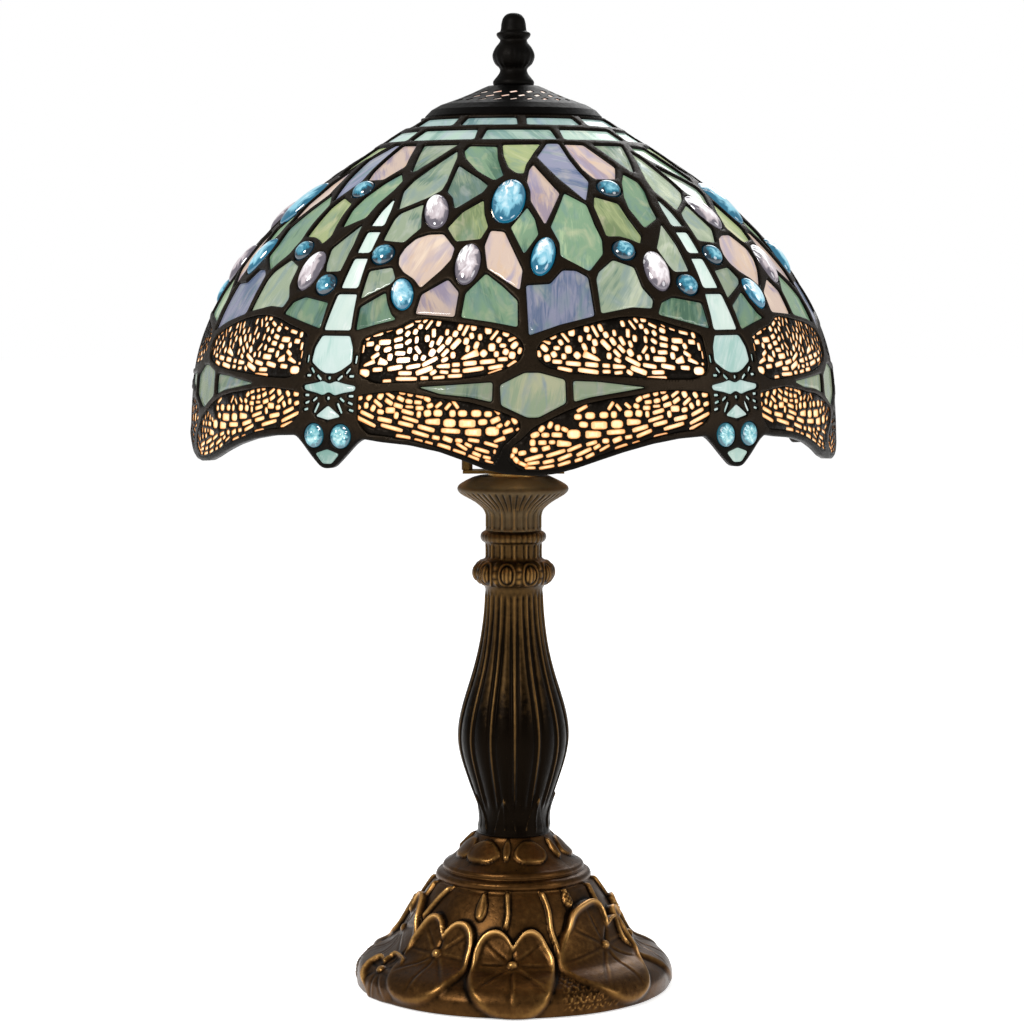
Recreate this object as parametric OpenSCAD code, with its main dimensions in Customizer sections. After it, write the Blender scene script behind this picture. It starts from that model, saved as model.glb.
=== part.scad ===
// Stained glass table lamp: a five-fold dragonfly shade on a cast bronze pedestal.
// Millimetres, +Z up, front of the lamp towards -Y, origin at the centre of the resting face.

/* [Overall] */
// Height from the table to the tip of the finial
lamp_h = 461; // [455:1:467]
// Diameter across the rim of the shade
shade_d = 305; // [301:1:309]
// Diameter of the cast foot
foot_d = 150; // [146:1:156]

/* [Shade] */
// Azimuth of the first dragonfly from the front, degrees
pattern_turn = -32; // [-72:1:72]
// Thickness of the sheet glass
glass_t = 2.6; // [2:0.1:3]
// How far the soldered lines stand proud of the glass
solder_proud = 0.7; // [0.4:0.1:0.7]
// Thickness of the soldered lines
lattice_t = 3.9; // [3.4:0.1:4.4]
// Thickness of the pierced filigree sheet on the wings
filigree_t = 0.5; // [0.3:0.1:0.6]
// Height that the cabochons rise above the glass
cabochon_rise = 3.4; // [2.5:0.1:4.5]
// Height that the eye jewels rise above the glass
eye_rise = 1.7; // [1:0.1:1.8]
// Number of conical bands that make up the curve of the dome
dome_bands = 13; // [10:1:16]

/* [Cap and finial] */
// Outer radius of the vented cap
cap_r = 41.5; // [41:0.5:42]
// Sheet thickness of the vented cap
cap_t = 1.2; // [1:0.1:1.2]
// Number of vent holes in the inner row of the cap
vents = 16; // [12:1:18]

/* [Harp] */
// Half the width of the harp bow at its centre line
harp_half_w = 45; // [43:1:47]
// Width and thickness of the harp bar
harp_bar = 3.4; // [3:0.1:3.6]
// How far the locking sleeves slide up
sleeve_travel = 10; // [6:1:11]

/* [Lamp holder and bulb] */
// Radius of the bulb globe
bulb_r = 30; // [27:1:31]
// Radius of the screw cap of the bulb
bulb_cap_r = 13.25; // [13.2:0.01:13.28]
// Radius of the bore in the cord bush
cord_bore_r = 3.2; // [3:0.1:3.4]

/* [Hidden] */
$fn = 64;

sectors = 5;
sector_a = 360 / sectors;
rim_z = 254;
dome_top_z = 411;
rim_r = shade_d / 2 - solder_proud;
glass_set = 0.2;

// The dome's glass surface: height, radius and slope dr/dz at five knots, joined by cubic curves.
DOME = [
    [rim_z, rim_r, 0],
    [290, rim_r - 1.7, -0.09],
    [327, rim_r - 13.8, -0.56],
    [364, rim_r - 42.8, -1.05],
    [dome_top_z, 42.5, -1.65],
];

// The baluster's radius above the foot, in the same form.
BALUSTER = [
    [73, 17.6, -0.3],
    [80, 16.3, 0],
    [97, 20.8, 0.33],
    [120, 26.3, 0],
    [143, 21.5, -0.32],
    [166, 15.7, -0.16],
    [190, 13.6, 0],
];

// The outlines below are (azimuth, height) corners within one sector. A dragonfly's spine is at 0.
SAGE = [
    [[3.4, 354.2], [3.6, 363.6], [4.4, 366.2], [9.3, 370.2], [10, 365.5], [11.2, 359.5], [8.6, 353.2]],
    [[3.4, 367.5], [1.3, 376], [2.2, 381], [5, 386.5], [10.6, 394.4], [12, 391.4], [12.8, 380],
        [12.5, 376], [9.6, 372.6]],
    [[-6.6, 397.3], [9.8, 397.5], [5, 391.6], [0.4, 384.8], [-0.8, 384.6]],
    [[14.2, 387.6], [22, 381.6], [25, 378.4], [23.8, 375], [17.9, 367.8], [16.4, 373], [14.3, 375.6]],
    [[3.2, 329], [3.1, 341], [7.8, 342.6], [9.2, 337.6], [8.6, 335.4]],
    [[62.9, 350.6], [67.6, 361.4], [68.4, 352], [68.3, 340.8], [64.6, 340.6], [63.8, 344]],
    [[47.5, 323], [47.7, 337.5], [48.5, 340.6], [52, 345.8], [56, 342.6], [56.4, 334], [58, 328.6],
        [57.3, 325], [53.5, 325.6]],
];
JADE = [
    [[3.6, 325.5], [8, 331.8], [8.8, 327.3], [10.1, 322.3], [11.2, 320.4], [7.5, 318.2], [3.9, 315.6]],
    [[22.9, 321.4], [23.3, 331.6], [26.8, 340], [30, 334.5], [32.7, 328.5], [32.7, 317.4], [28.5, 319.4]],
    [[58.3, 322.4], [59.6, 327.4], [62.2, 329.6], [68.3, 327.2], [68.3, 316.2]],
    [[62.2, 359.6], [61, 368], [61.8, 373.4], [64.5, 380], [67.6, 384], [70.4, 380.4], [70, 376.4],
        [68, 370], [67.4, 364]],
    [[40.2, 360], [43, 368.6], [45.4, 375], [50.1, 370], [50.3, 361], [50.9, 354.6], [50.2, 348.4],
        [46.6, 340.9], [41.4, 347.4], [41.6, 353]],
    [[31.4, 359.8], [35.3, 368.6], [36.8, 363.6], [37.3, 356.8], [34.1, 348.4]],
    [[13.5, 394.4], [14.6, 396.8], [25.6, 396.4], [26.6, 390.6], [29, 382.8], [26.6, 380.4], [21, 385],
        [15.4, 391]],
];
YELLOW_GREEN = [
    [[52.2, 355.8], [51.9, 369], [53.2, 373.5], [58.9, 370.5], [59.3, 364], [60.5, 356], [59.3, 352.6],
        [57.4, 354.6], [55, 355.9]],
    [[27.7, 397.3], [42.8, 397.6], [39.5, 393.8], [36, 388], [34.9, 383.4], [33, 383.7], [30.5, 386.5],
        [28.6, 392]],
    [[17.4, 359.6], [20, 366.6], [24.5, 371.8], [25.2, 365.6], [26.4, 360], [25, 354.6], [20, 353.6]],
];
PEACH = [
    [[8.6, 347.3], [9.3, 351.3], [11, 355], [13.5, 356.8], [16.8, 357], [19.9, 350.8], [19.6, 346],
        [18, 341.3], [14.7, 333.8], [13, 337.6], [10.5, 340.6], [9, 343.8]],
    [[14.6, 322.8], [15.1, 331], [19.7, 337.4], [22, 332], [21.7, 321.6]],
    [[27.1, 358.5], [30, 358], [33.7, 341.5], [33.1, 333], [27, 342], [26.1, 352]],
    [[52.7, 397.6], [61.2, 397.4], [66.6, 387], [62.8, 381.2], [56, 381.2], [54, 385.6], [53, 392]],
    [[35.8, 380], [36.9, 385.6], [38.4, 388], [44.1, 374.9], [39, 361], [36.3, 371.4], [36.5, 376]],
];
LILAC = [
    [[40.2, 391.4], [45.6, 398], [50.6, 398], [51.2, 391], [52.3, 385.6], [53.8, 380.4], [50.3, 371.4],
        [45, 381.6]],
    [[34.3, 335], [38.8, 335.6], [41.4, 341.4], [44, 341.2], [46.1, 338.4], [46.2, 322], [40, 318.4],
        [34.6, 313.9]],
];
GAPS = [
    [[29.8, 293], [33.8, 298.2], [36.2, 298.2], [40.4, 295.2], [40.5, 285.4], [36, 279.4], [34.2, 279.4],
        [30, 284.5]],
    [[16.5, 291.9], [28.6, 294.2], [28.5, 285.9], [25, 287.9], [20, 289.2]],
    [[41.7, 294.7], [46, 294.2], [54, 291.6], [49, 289.6], [44.5, 287.8], [41.8, 285.9]],
];
CROWN_UPPER = [for (start = [3.2, 39.2]) [[start, 406.6], [start + 31, 406.6], [start + 30.5, 410.4],
    [start + 0.5, 410.4]]];
CROWN_LOWER = [for (start = [18.6, 54.6]) [[start - 0.4, 399.6], [start + 32.4, 399.6],
    [start + 31.6, 404.6], [start + 0.4, 404.6]]];
TAIL = [
    [[-1.7, 360.5], [1.7, 360.5], [1.3, 367], [0.3, 372], [-0.3, 372], [-1.3, 367]],
    [[-1.6, 348.8], [1.6, 348.8], [1.7, 358], [-1.7, 358]],
    [[-1.9, 333.6], [1.9, 333.6], [1.6, 346.4], [-1.6, 346.4]],
    [[-2.8, 315.6], [2.8, 315.6], [2.1, 331], [-2.1, 331]],
];
THORAX = [
    [[-2.9, 313.2], [2.9, 313.2], [3.9, 308], [4.1, 302], [2.2, 298.6], [0.9, 297.2], [-0.9, 297.2],
        [-2.2, 298.6], [-4.1, 302], [-3.9, 308]],
    [[5.2, 291.8], [5, 289.9], [2.6, 288.8], [1.2, 287.7], [0, 289.3], [-1.2, 287.7], [-2.6, 288.8],
        [-5, 289.9], [-5.2, 291.8], [-2.6, 293], [-1.3, 293.9], [0, 292.6], [1.3, 293.9], [2.6, 293]],
    [[-2.5, 278.7], [0, 277.2], [2.5, 278.7], [0, 283.4]],
];
HEAD = [[[-2.4, 262.6], [0, 264.6], [2.4, 262.6], [0.9, 258.3], [-0.9, 258.3]]];
UPPER_WINGS = [
    [[5.6, 297], [5.6, 312], [8.5, 315], [12, 317], [14.5, 320.3], [17, 321], [21, 319.6], [25, 318.4],
        [28.5, 317], [31.5, 315], [33.4, 311.5], [33.8, 308], [33, 303], [31, 299.8], [28, 297.2],
        [24, 295.6], [18, 294.6], [12, 293.4], [9, 293], [7, 295]],
    [[35.7, 307.5], [36.8, 311.8], [39.5, 314.8], [43.5, 317.6], [47, 319.8], [51, 321.4], [54, 321.6],
        [57.5, 320.3], [61, 317.6], [64, 315.6], [66.2, 313.4], [66.4, 300], [65.6, 296.6], [63, 294.4],
        [58, 294.6], [52, 295.8], [46, 296.8], [41, 297.9], [37.4, 300.2], [35.9, 303.5]],
];
LOWER_WINGS = [
    [[5.8, 277], [5.6, 288], [9, 289.3], [13, 290.3], [17.5, 288.6], [21, 287], [25, 285.8],
        [28.2, 283.4], [30.6, 281.2], [33, 278.5], [33.2, 274.5], [32, 271], [30.4, 267.5], [29.6, 263],
        [28.8, 259.4], [27, 259.8], [23.6, 263.4], [20, 266.4], [16, 269], [11, 270.8], [7.6, 271.6]],
    [[31.2, 261.5], [31.4, 266.5], [33.6, 271], [35, 275], [37.6, 278.4], [40.4, 282], [43.6, 285],
        [47.5, 287], [52, 288.4], [56.5, 290.2], [60, 290.4], [64, 289.6], [66.2, 288.8], [66.3, 280],
        [65.4, 276.4], [63, 272.9], [59, 271.8], [55, 269.8], [51, 266.9], [47, 263.9], [43.5, 260.8],
        [40, 258.4], [36, 256.6], [33, 257.2]],
];
// The waste under the scalloped rim, from a head's tip to the wing tips and on to the next head.
RIM_WASTE = [
    [[-0.2, 256.2], [1.2, 256.7], [3.2, 261.6], [5.2, 267], [6.6, 269.5], [10, 268.3], [15, 267.2],
        [20, 264.6], [24, 261], [27.5, 257.3], [31, 255.3], [34.9, 254.6], [34.9, 240], [-0.2, 240]],
    [[34.7, 254.6], [38.7, 255.4], [42, 257.6], [46, 261], [50, 264.2], [55, 267.4], [60, 269.4],
        [65.4, 270.1], [66.8, 267], [68.8, 261.6], [70.8, 256.7], [72.2, 256.2], [72.2, 240], [34.7, 240]],
];
// Cabochons: azimuth, height, half width, half length, lean.
SMALL_BLUE = [[4.9, 347.8, 5.4, 5.4, 0], [58.5, 376.7, 5.6, 5.6, 0], [54.9, 349.6, 5.3, 5.3, 0],
    [66.4, 334.8, 5.3, 5.3, 0]];
LARGE_BLUE = [[11.4, 331, 4.9, 7.9, -18], [30.8, 371.6, 7.1, 14.4, 8], [37.9, 347.3, 5, 10.4, 15]];
CLEAR = [[13.5, 366.8, 5.3, 11, -15], [23.1, 344, 5.3, 10.6, 4], [60.7, 341, 5.8, 10.2, 3]];
EYES = [[-2.65, 270.3, 5, 5.2, -8], [2.65, 270.3, 5, 5.2, 8]];

// Cubic curve through the knots of a table, at height z.
function knot_at(table, z, i = 0) = (i >= len(table) - 2 || z <= table[i + 1][0]) ? i
    : knot_at(table, z, i + 1);
function curve(table, z) = let (i = knot_at(table, z), a = table[i], b = table[i + 1], h = b[0] - a[0],
    t = (z - a[0]) / h, s = 1 - t)
    a[1] * s * s * (1 + 2 * t) + b[1] * t * t * (1 + 2 * s) + h * t * s * (a[2] * s - b[2] * t);
function dome_r(z) = curve(DOME, max(rim_z, z));
function dome_lean(z) = atan2(dome_r(z - 0.5) - dome_r(z + 0.5), 1);
function arc(centre, r, from, to, steps = 12) = [for (i = [0:steps])
    let (a = from + (to - from) * i / steps) centre + r * [cos(a), sin(a)]];
function middle(p) = [for (k = [0, 1]) [for (q = p) q[k]] * [for (q = p) 1] / len(p)];
function oval(a, b, n = 16) = [for (i = [0:n - 1]) [a * cos(360 * i / n), b * sin(360 * i / n)]];
function flip(p) = [for (q = p) [-q[0], q[1]]];
function backwards(p) = [for (i = [len(p) - 1:-1:0]) p[i]];

// Corners of an outline on the plane that touches the dome at its middle.
function flatten(p, c) = let (lean = dome_lean(c[1]), r = dome_r(c[1]))
    [for (q = p) let (d = q[0] - c[0], rq = dome_r(q[1]))
        [rq * sin(d), (r - rq * cos(d)) * sin(lean) + (q[1] - c[1]) * cos(lean)]];

// Puts its children on the dome, with +Z along the outward normal and +Y up the slope.
module on_dome(azimuth, z) {
    rotate([0, 0, azimuth]) translate([0, -dome_r(z), z]) rotate([90 - dome_lean(z), 0, 0]) children();
}

module each_sector() {
    for (k = [0:sectors - 1]) rotate([0, 0, pattern_turn + k * sector_a]) children();
}

// A straight prism through the dome on an outline, from depth inside to height outside.
module prism(p, depth, height) {
    c = middle(p);
    on_dome(c[0], c[1]) translate([0, 0, -depth]) linear_extrude(depth + height) polygon(flatten(p, c));
}

module panes(outlines) {
    each_sector() for (p = outlines) prism(p, glass_t + glass_set, -glass_set);
}

// A skin of the dome between two offsets from the glass surface, inwards negative.
module dome_skin(inner, outer) {
    zs = [for (i = [0:dome_bands]) rim_z - 1 + (dome_top_z - rim_z + 1) * i / dome_bands];
    out_edge = [for (z = zs) [dome_r(z), z] + outer * [cos(dome_lean(z)), sin(dome_lean(z))]];
    in_edge = [for (z = zs) [dome_r(z), z] + inner * [cos(dome_lean(z)), sin(dome_lean(z))]];
    intersection() {
        rotate_extrude($fn = 128) polygon(concat(out_edge, backwards(in_edge)));
        translate([0, 0, rim_z - 10]) cylinder(h = dome_top_z - rim_z + 10, r = shade_d);
    }
}

module gem_prism(g, depth, height) {
    on_dome(g[0], g[1]) rotate([0, 0, -g[4]]) translate([0, 0, -depth])
        linear_extrude(depth + height) polygon(oval(g[2], g[3]));
}

module gem(g, rise) {
    crown = rise - 0.4;
    ball = (g[3] * g[3] + crown * crown) / (2 * crown);
    intersection() {
        gem_prism(g, glass_t, rise + 1);
        on_dome(g[0], g[1]) translate([0, 0, rise - ball]) rotate([90, 0, 0]) sphere(r = ball, $fn = 128);
    }
}

module gems(list, rise) {
    each_sector() for (g = list) gem(g, rise);
}

module wing_glass(outlines) {
    intersection() {
        dome_skin(-glass_t, 0);
        each_sector() for (p = outlines) prism(p, 22, 6);
    }
}

// Eight long slots along a wing, in two rows either side of its middle line.
module wing_slots(p) {
    c = middle(p);
    for (i = [0:3], row = [-1, 1]) {
        azimuth = c[0] - 9 + 6 * i;
        z = c[1] + row * 4.2 + 0.15 * (row + i - 1.5);
        on_dome(azimuth, z) translate([0, 0, -4]) linear_extrude(8) polygon(oval(4.2, 1.6, 6));
    }
}

module wing_filigree(outlines) {
    difference() {
        intersection() {
            dome_skin(0, filigree_t);
            each_sector() for (p = outlines) prism(p, 22, 6);
        }
        each_sector() for (p = outlines) wing_slots(p);
    }
}

// Foot: a hollow bell with two rolled rings, and a hole at the back for the cord bush.
foot_floor_z = 0.8;
foot_top_z = 73;
tube_r = 4.75;
tube_hole_r = 5.2;
bush_z = 7;
bush_r = 5;
foot_r = foot_d / 2;
FOOT_OUTSIDE = concat(
    [[foot_r, foot_floor_z]],
    arc([foot_r - 5, 6.5], 5, 0, 62, 5),
    [[65.6, 15], [58.2, 18], [54.8, 21], [50.7, 26.8], [47.6, 32.7], [44.7, 38.5], [41.3, 44.4],
        [38, 50]],
    arc([34.4, 53], 2.4, -45, 80, 6),
    arc([31.4, 57], 2.2, -40, 80, 6),
    [[28.3, 62], [24.7, 64.8], [22.1, 67.7], [18.9, 70.6], [17.6, foot_top_z]]);
FOOT_INSIDE = [[tube_hole_r, foot_top_z], [tube_hole_r, 64], [12, 64], [20, 60], [30, 52], [37, 42], [44, 29],
    [51, 18], [60, 13], [68, 9], [foot_r - 5, 6], [foot_r - 5, foot_floor_z]];

module foot_casting() {
    color("#5b4630") difference() {
        rotate_extrude($fn = 96) polygon(concat(FOOT_OUTSIDE, FOOT_INSIDE));
        translate([0, foot_r - 20, bush_z]) rotate([-90, 0, 0]) cylinder(h = 30, r = bush_r);
    }
}

// Column: fluted baluster, an egg-and-leaf ring and a bead ring.
column_top_z = 218;
COLUMN_OUTSIDE = concat(
    [for (z = [foot_top_z:4:189]) [curve(BALUSTER, z), z]],
    [[13.7, 190.6]],
    arc([12.4, 198], 6.4, -70, 70, 10),
    [[13.3, 206], [13.3, 211.5]],
    arc([12.6, 215], 2.9, -70, 70, 8),
    [[13, column_top_z]]);

module column_casting() {
    color("#4a3a28") rotate_extrude() polygon(concat(COLUMN_OUTSIDE,
        [[tube_hole_r, column_top_z], [tube_hole_r, foot_top_z]]));
}

dish_top_z = 244;
module top_dish() {
    color("#6b5438") rotate_extrude() polygon([[tube_hole_r, column_top_z], [13.3, column_top_z],
        [13.3, 226], [15, 229], [20, 232.5], [25.4, 235.6], [26.4, 237.4], [26, 239.4], [17.5, dish_top_z],
        [tube_hole_r, dish_top_z]]);
}

ballast_top_z = 12;
module ballast_weight() {
    color("#3c3c3e") rotate_extrude() polygon([[tube_hole_r, 4], [58, 4], [58, 8.6], [52, ballast_top_z],
        [tube_hole_r, ballast_top_z]]);
}

module felt_pad() {
    color("#26372b") difference() {
        cylinder(h = 2, r = foot_r - 5.4);
        translate([0, 0, -1]) cylinder(h = 4, r = 14);
    }
}

tube_top_z = 256;
module threaded_tube() {
    color("#b9a36a") difference() {
        translate([0, 0, 1.5]) cylinder(h = tube_top_z - 1.5, r = tube_r);
        cylinder(h = tube_top_z + 10, r = 3.5);
    }
}

// Hexagon nuts: one under the ballast, one over it, and one that clamps the casting inside the foot.
module hex_nut(z, height) {
    translate([0, 0, z]) difference() {
        cylinder(h = height, r = 8, $fn = 6);
        translate([0, 0, -1]) cylinder(h = height + 2, r = tube_r);
    }
}

washer_t = 1.4;
washer_z = 62.6;
module tube_nuts() {
    color("#c9c2ae") {
        hex_nut(2, 2);
        hex_nut(ballast_top_z, 4);
        hex_nut(washer_z - 4, 4);
    }
}

module lock_washer() {
    color("#a9a9a6") translate([0, 0, washer_z]) difference() {
        cylinder(h = washer_t, r = 11);
        translate([0, 0, -1]) cylinder(h = 4, r = tube_r);
    }
}

bush_y = foot_r - 9.5;
bush_l = 9;
module cord_bush() {
    color("#1e1e1e") translate([0, bush_y, bush_z]) rotate([-90, 0, 0]) difference() {
        cylinder(h = bush_l, r = bush_r);
        translate([0, 0, -1]) cylinder(h = bush_l + 2, r = cord_bore_r);
    }
}

ring_t = 1.2;
module check_ring() {
    color("#b08d4a") translate([0, 0, dish_top_z]) difference() {
        cylinder(h = ring_t, r = 12);
        translate([0, 0, -1]) cylinder(h = 4, r = tube_r);
    }
}

// Harp: a saddle under the lamp holder, a bent bar bow and the stud that carries the shade.
saddle_z = dish_top_z + ring_t;
saddle_t = 1.5;
leg_x = 22;
post_r = 2.6;
post_top_z = 263;
bend_z = 284;
bend_a = 60;
bend_r = (harp_half_w - leg_x) / (2 * (1 - cos(bend_a)));
bow_z = 373;
stud_r = 3;
hub_r = 4.5;
hub_z = 415;
rest_z = 424.5;

module harp_saddle() {
    color("#b08d4a") {
        difference() {
            translate([-leg_x - 2, -6, saddle_z]) cube([2 * leg_x + 4, 12, saddle_t]);
            translate([0, 0, saddle_z - 1]) cylinder(h = 4, r = tube_r);
        }
        for (side = [-1, 1]) translate([side * leg_x, 0, saddle_z + saddle_t]) {
            translate([-0.9, -5, 0]) cube([1.8, 10, 8]);
            cylinder(h = post_top_z - saddle_z - saddle_t, r = post_r);
        }
    }
}

// Half of the bow's outline in the XZ plane, offset to one side of its centre line.
function bow_side(t) = let (low = [leg_x + bend_r, bend_z],
    high = [harp_half_w - bend_r, bend_z + 2 * bend_r * sin(bend_a)])
    concat([[leg_x + t, post_top_z]],
        arc(low, bend_r - t, 180, 180 - bend_a, 8),
        arc(high, bend_r + t, -bend_a, 0, 8),
        arc([0, bow_z], harp_half_w + t, 0, 90, 18));

module harp_bow() {
    outside = bow_side(harp_bar / 2);
    inside = bow_side(-harp_bar / 2);
    color("#b08d4a") difference() {
        translate([0, harp_bar / 2, 0]) rotate([90, 0, 0]) linear_extrude(harp_bar)
            polygon(concat(outside, backwards(flip(outside)), flip(inside), backwards(inside)));
        translate([0, 0, hub_z - 4]) cylinder(h = 16, r = hub_r);
    }
}

finial_z = 427.3;
module shade_stud() {
    color("#b08d4a") {
        translate([0, 0, hub_z - 1]) cylinder(h = rest_z - hub_z + 1, r = hub_r);
        translate([0, 0, rest_z]) cylinder(h = 9.5, r = stud_r);
    }
}

module shade_rest() {
    color("#b08d4a") translate([0, 0, rest_z]) difference() {
        cylinder(h = 1, r = 10);
        translate([0, 0, -1]) cylinder(h = 4, r = stud_r);
    }
}

sleeve_l = 14;
module harp_sleeve(side) {
    color("#c9a85c") translate([side * leg_x, 0, post_top_z - sleeve_l / 2 + 1]) difference() {
        union() {
            cylinder(h = sleeve_l, r = 3.5);
            cylinder(h = 1.6, r = 3.9);
        }
        translate([0, 0, -1]) cylinder(h = sleeve_l + 2, r = post_r + 0.05);
    }
}

module harp_sleeve_left() { harp_sleeve(-1); }
module harp_sleeve_right() { harp_sleeve(1); }

// Lamp holder: cap, shell, liner, core, screw shell and centre contact, with a turn knob at the back.
holder_z = saddle_z + saddle_t;
shell_r = 16.9;
shell_top_z = 304;
core_z = 262;
core_top_z = 277;
knob_z = 270;
stem_r = 2;

module socket_cap() {
    color("#c2a05a") rotate_extrude() polygon([[tube_r, holder_z], [8.4, holder_z], [8.4, 251], [13, 254],
        [16.4, 258], [17.8, 261.5], [17.8, 265], [17, 265], [17, 262], [15.6, 258.8], [12.4, 255],
        [7.6, 252.2], [tube_r, 252.2]]);
}

module knob_hole(r) {
    translate([0, 0, knob_z]) rotate([-90, 0, 0]) cylinder(h = 30, r = r);
}

module socket_tube(outer, inner, bottom, top) {
    translate([0, 0, bottom]) difference() {
        cylinder(h = top - bottom, r = outer);
        translate([0, 0, -1]) cylinder(h = top - bottom + 2, r = inner);
    }
}

module socket_shell() {
    color("#c2a05a") difference() {
        socket_tube(shell_r, 16.2, core_z + 0.6, shell_top_z);
        knob_hole(2.8);
    }
}

module socket_liner() {
    color("#b9ad93") difference() {
        socket_tube(16.1, 15.5, core_z + 0.6, shell_top_z - 1);
        knob_hole(2.6);
    }
}

module socket_core() {
    color("#1a1a1a") difference() {
        translate([0, 0, core_z]) cylinder(h = core_top_z - core_z, r = 15.3);
        translate([0, 6, knob_z]) rotate([-90, 0, 0]) cylinder(h = 20, r = stem_r + 0.05);
    }
}

module screw_shell() {
    color("#b9a36a") socket_tube(14.1, bulb_cap_r + 0.05, core_top_z, shell_top_z - 2);
}

module centre_contact() {
    color("#c9a85c") {
        translate([-6, -2, core_top_z]) cube([9, 4, 0.6]);
        translate([0, 0, core_top_z + 0.6]) cylinder(h = 1.2, r = 2.4);
    }
}

module switch_stem() {
    color("#8d8d88") translate([0, 6.4, knob_z]) rotate([-90, 0, 0]) cylinder(h = 18, r = stem_r);
}

module switch_knob() {
    color("#1a1a1a") translate([0, 20, knob_z]) rotate([-90, 0, 0]) difference() {
        union() {
            cylinder(h = 11, r = 5.4, $fn = 12);
            cylinder(h = 2, r = 6);
        }
        translate([0, 0, -1]) cylinder(h = 5.4, r = stem_r);
    }
}

// Bulb: a globe on a tapering neck, its screw cap, insulator, tip and filament.
bulb_z = 352;
bulb_neck_z = 304;
module bulb_profile(gap) {
    polygon(concat([[0, bulb_neck_z], [13.2 - gap, bulb_neck_z], [14.4 - gap, 314]],
        arc([0, bulb_z], bulb_r - gap, -42, 90, 20)));
}

module bulb_glass() {
    color("#fff3d6") rotate_extrude() difference() {
        bulb_profile(0);
        bulb_profile(0.9);
        translate([0, bulb_neck_z - 1]) square([12.3, 2]);
    }
}

module bulb_cap() {
    color("#c9c9c4") socket_tube(bulb_cap_r, 12.3, 283, bulb_neck_z);
}

module bulb_insulator() {
    color("#151515") rotate_extrude() polygon([[0, 281.2], [4, 281.2], [12.3, 283], [12.3, 285], [0, 285]]);
}

module bulb_tip() {
    color("#b5b5b0") translate([0, 0, 279.2]) cylinder(h = 2, r = 3);
}

module bulb_filament() {
    color("#e8d9b0") {
        translate([0, 0, 285]) cylinder(h = 45, r = 5);
        for (a = [0:90:270]) rotate([0, 0, a]) translate([7, 0, 330]) cylinder(h = 34, r = 1.1, $fn = 24);
        translate([0, 0, 330]) cylinder(h = 2, r = 9);
        translate([0, 0, 364]) cylinder(h = 2, r = 9);
    }
}

// Finial: a lobed nut with an egg on top, threaded on the stud.
finial_tip = lamp_h;
module finial() {
    color("#16130f") difference() {
        rotate_extrude() polygon(concat(
            [[0, finial_z], [9.6, finial_z], [9.6, 429.4], [7.6, 431.6], [6.3, 434.4]],
            arc([3.6, 441], 6, -62, 66, 12),
            [[6.3, 448.2], [8, 450.4], [8, 451.8], [5.2, 452.4]],
            [for (t = [0:0.1:1]) [5.9 * sqrt(1 - t * t) * (1 - 0.12 * t), 454.2 + (finial_tip - 454.2) * t]]));
        translate([0, 0, finial_z - 1]) cylinder(h = 9.5, r = stud_r + 0.05);
    }
}

// Vented cap: spun sheet with rows of slanted holes, and the ring that joins it to the dome.
cap_top_z = 427;
CAP_OUTSIDE = [[stud_r + 0.08, cap_top_z], [12, cap_top_z], [14.4, 426], [19.5, 423.6], [26.3, 420.8],
    [34.3, 418], [38.6, 415.6], [cap_r, 412.6], [cap_r, dome_top_z]];
CAP_INSIDE = [[cap_r - 3, dome_top_z], [cap_r - 2.2, 412.4], [37.6, 414.4], [33.7, 416.8],
    [25.8, 419.6], [19, 422.4], [14, 424.8], [11.6, cap_top_z - cap_t], [stud_r + 0.08, cap_top_z - cap_t]];

module vented_cap() {
    color("#1b1712") difference() {
        rotate_extrude() polygon(concat(CAP_OUTSIDE, CAP_INSIDE));
        for (row = [0:2], i = [0:vents + 4 * row - 1])
            rotate([0, 0, (i + row / 2) * 360 / (vents + 4 * row)]) translate([18.5 + 5.4 * row, 0, 421])
                rotate([0, 20, 0]) rotate([0, 0, 24]) cube([2.4, 3.8, 16], center = true);
    }
}

module cap_ring() {
    color("#7d6a48") socket_tube(39.2, 37.4, 405.5, dome_top_z);
}

module lead_lattice() {
    color("#2a231b") difference() {
        dome_skin(solder_proud - lattice_t, solder_proud);
        each_sector() {
            for (p = concat(SAGE, JADE, YELLOW_GREEN, PEACH, LILAC, GAPS, CROWN_UPPER, CROWN_LOWER, TAIL,
                THORAX, HEAD)) prism(p, 12, 8);
            for (p = concat(UPPER_WINGS, LOWER_WINGS)) prism(p, 22, 8);
            for (p = RIM_WASTE) prism(p, 30, 10);
            for (g = concat(SMALL_BLUE, LARGE_BLUE, CLEAR, EYES)) gem_prism(g, 12, 8);
        }
    }
}

module crown_panes_upper() { color("#a9c9bf") panes(CROWN_UPPER); }
module crown_panes_lower() { color("#c4ded0") panes(CROWN_LOWER); }
module leaf_panes_sage() { color("#a3b39d") panes(SAGE); }
module leaf_panes_jade() { color("#6f9c7f") panes(JADE); }
module leaf_panes_yellow_green() { color("#b9c48c") panes(YELLOW_GREEN); }
module leaf_panes_peach() { color("#dcc3b4") panes(PEACH); }
module leaf_panes_lilac() { color("#a9a4c0") panes(LILAC); }
module gap_panes() { color("#9ba286") panes(GAPS); }
module tail_panes() { color("#e2f2e6") panes(TAIL); }
module thorax_panes() { color("#dff1ea") panes(THORAX); }
module head_panes() { color("#cfe3d6") panes(HEAD); }
module eye_jewels() { color("#5fb0bd") gems(EYES, eye_rise); }
module cabochons_small_blue() { color("#3f94ad") gems(SMALL_BLUE, cabochon_rise); }
module cabochons_large_blue() { color("#8fcbe0") gems(LARGE_BLUE, cabochon_rise); }
module cabochons_clear() { color("#e9e6ea") gems(CLEAR, cabochon_rise); }
module upper_wing_glass() { color("#f5dcae") wing_glass(UPPER_WINGS); }
module lower_wing_glass() { color("#efc987") wing_glass(LOWER_WINGS); }
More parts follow.
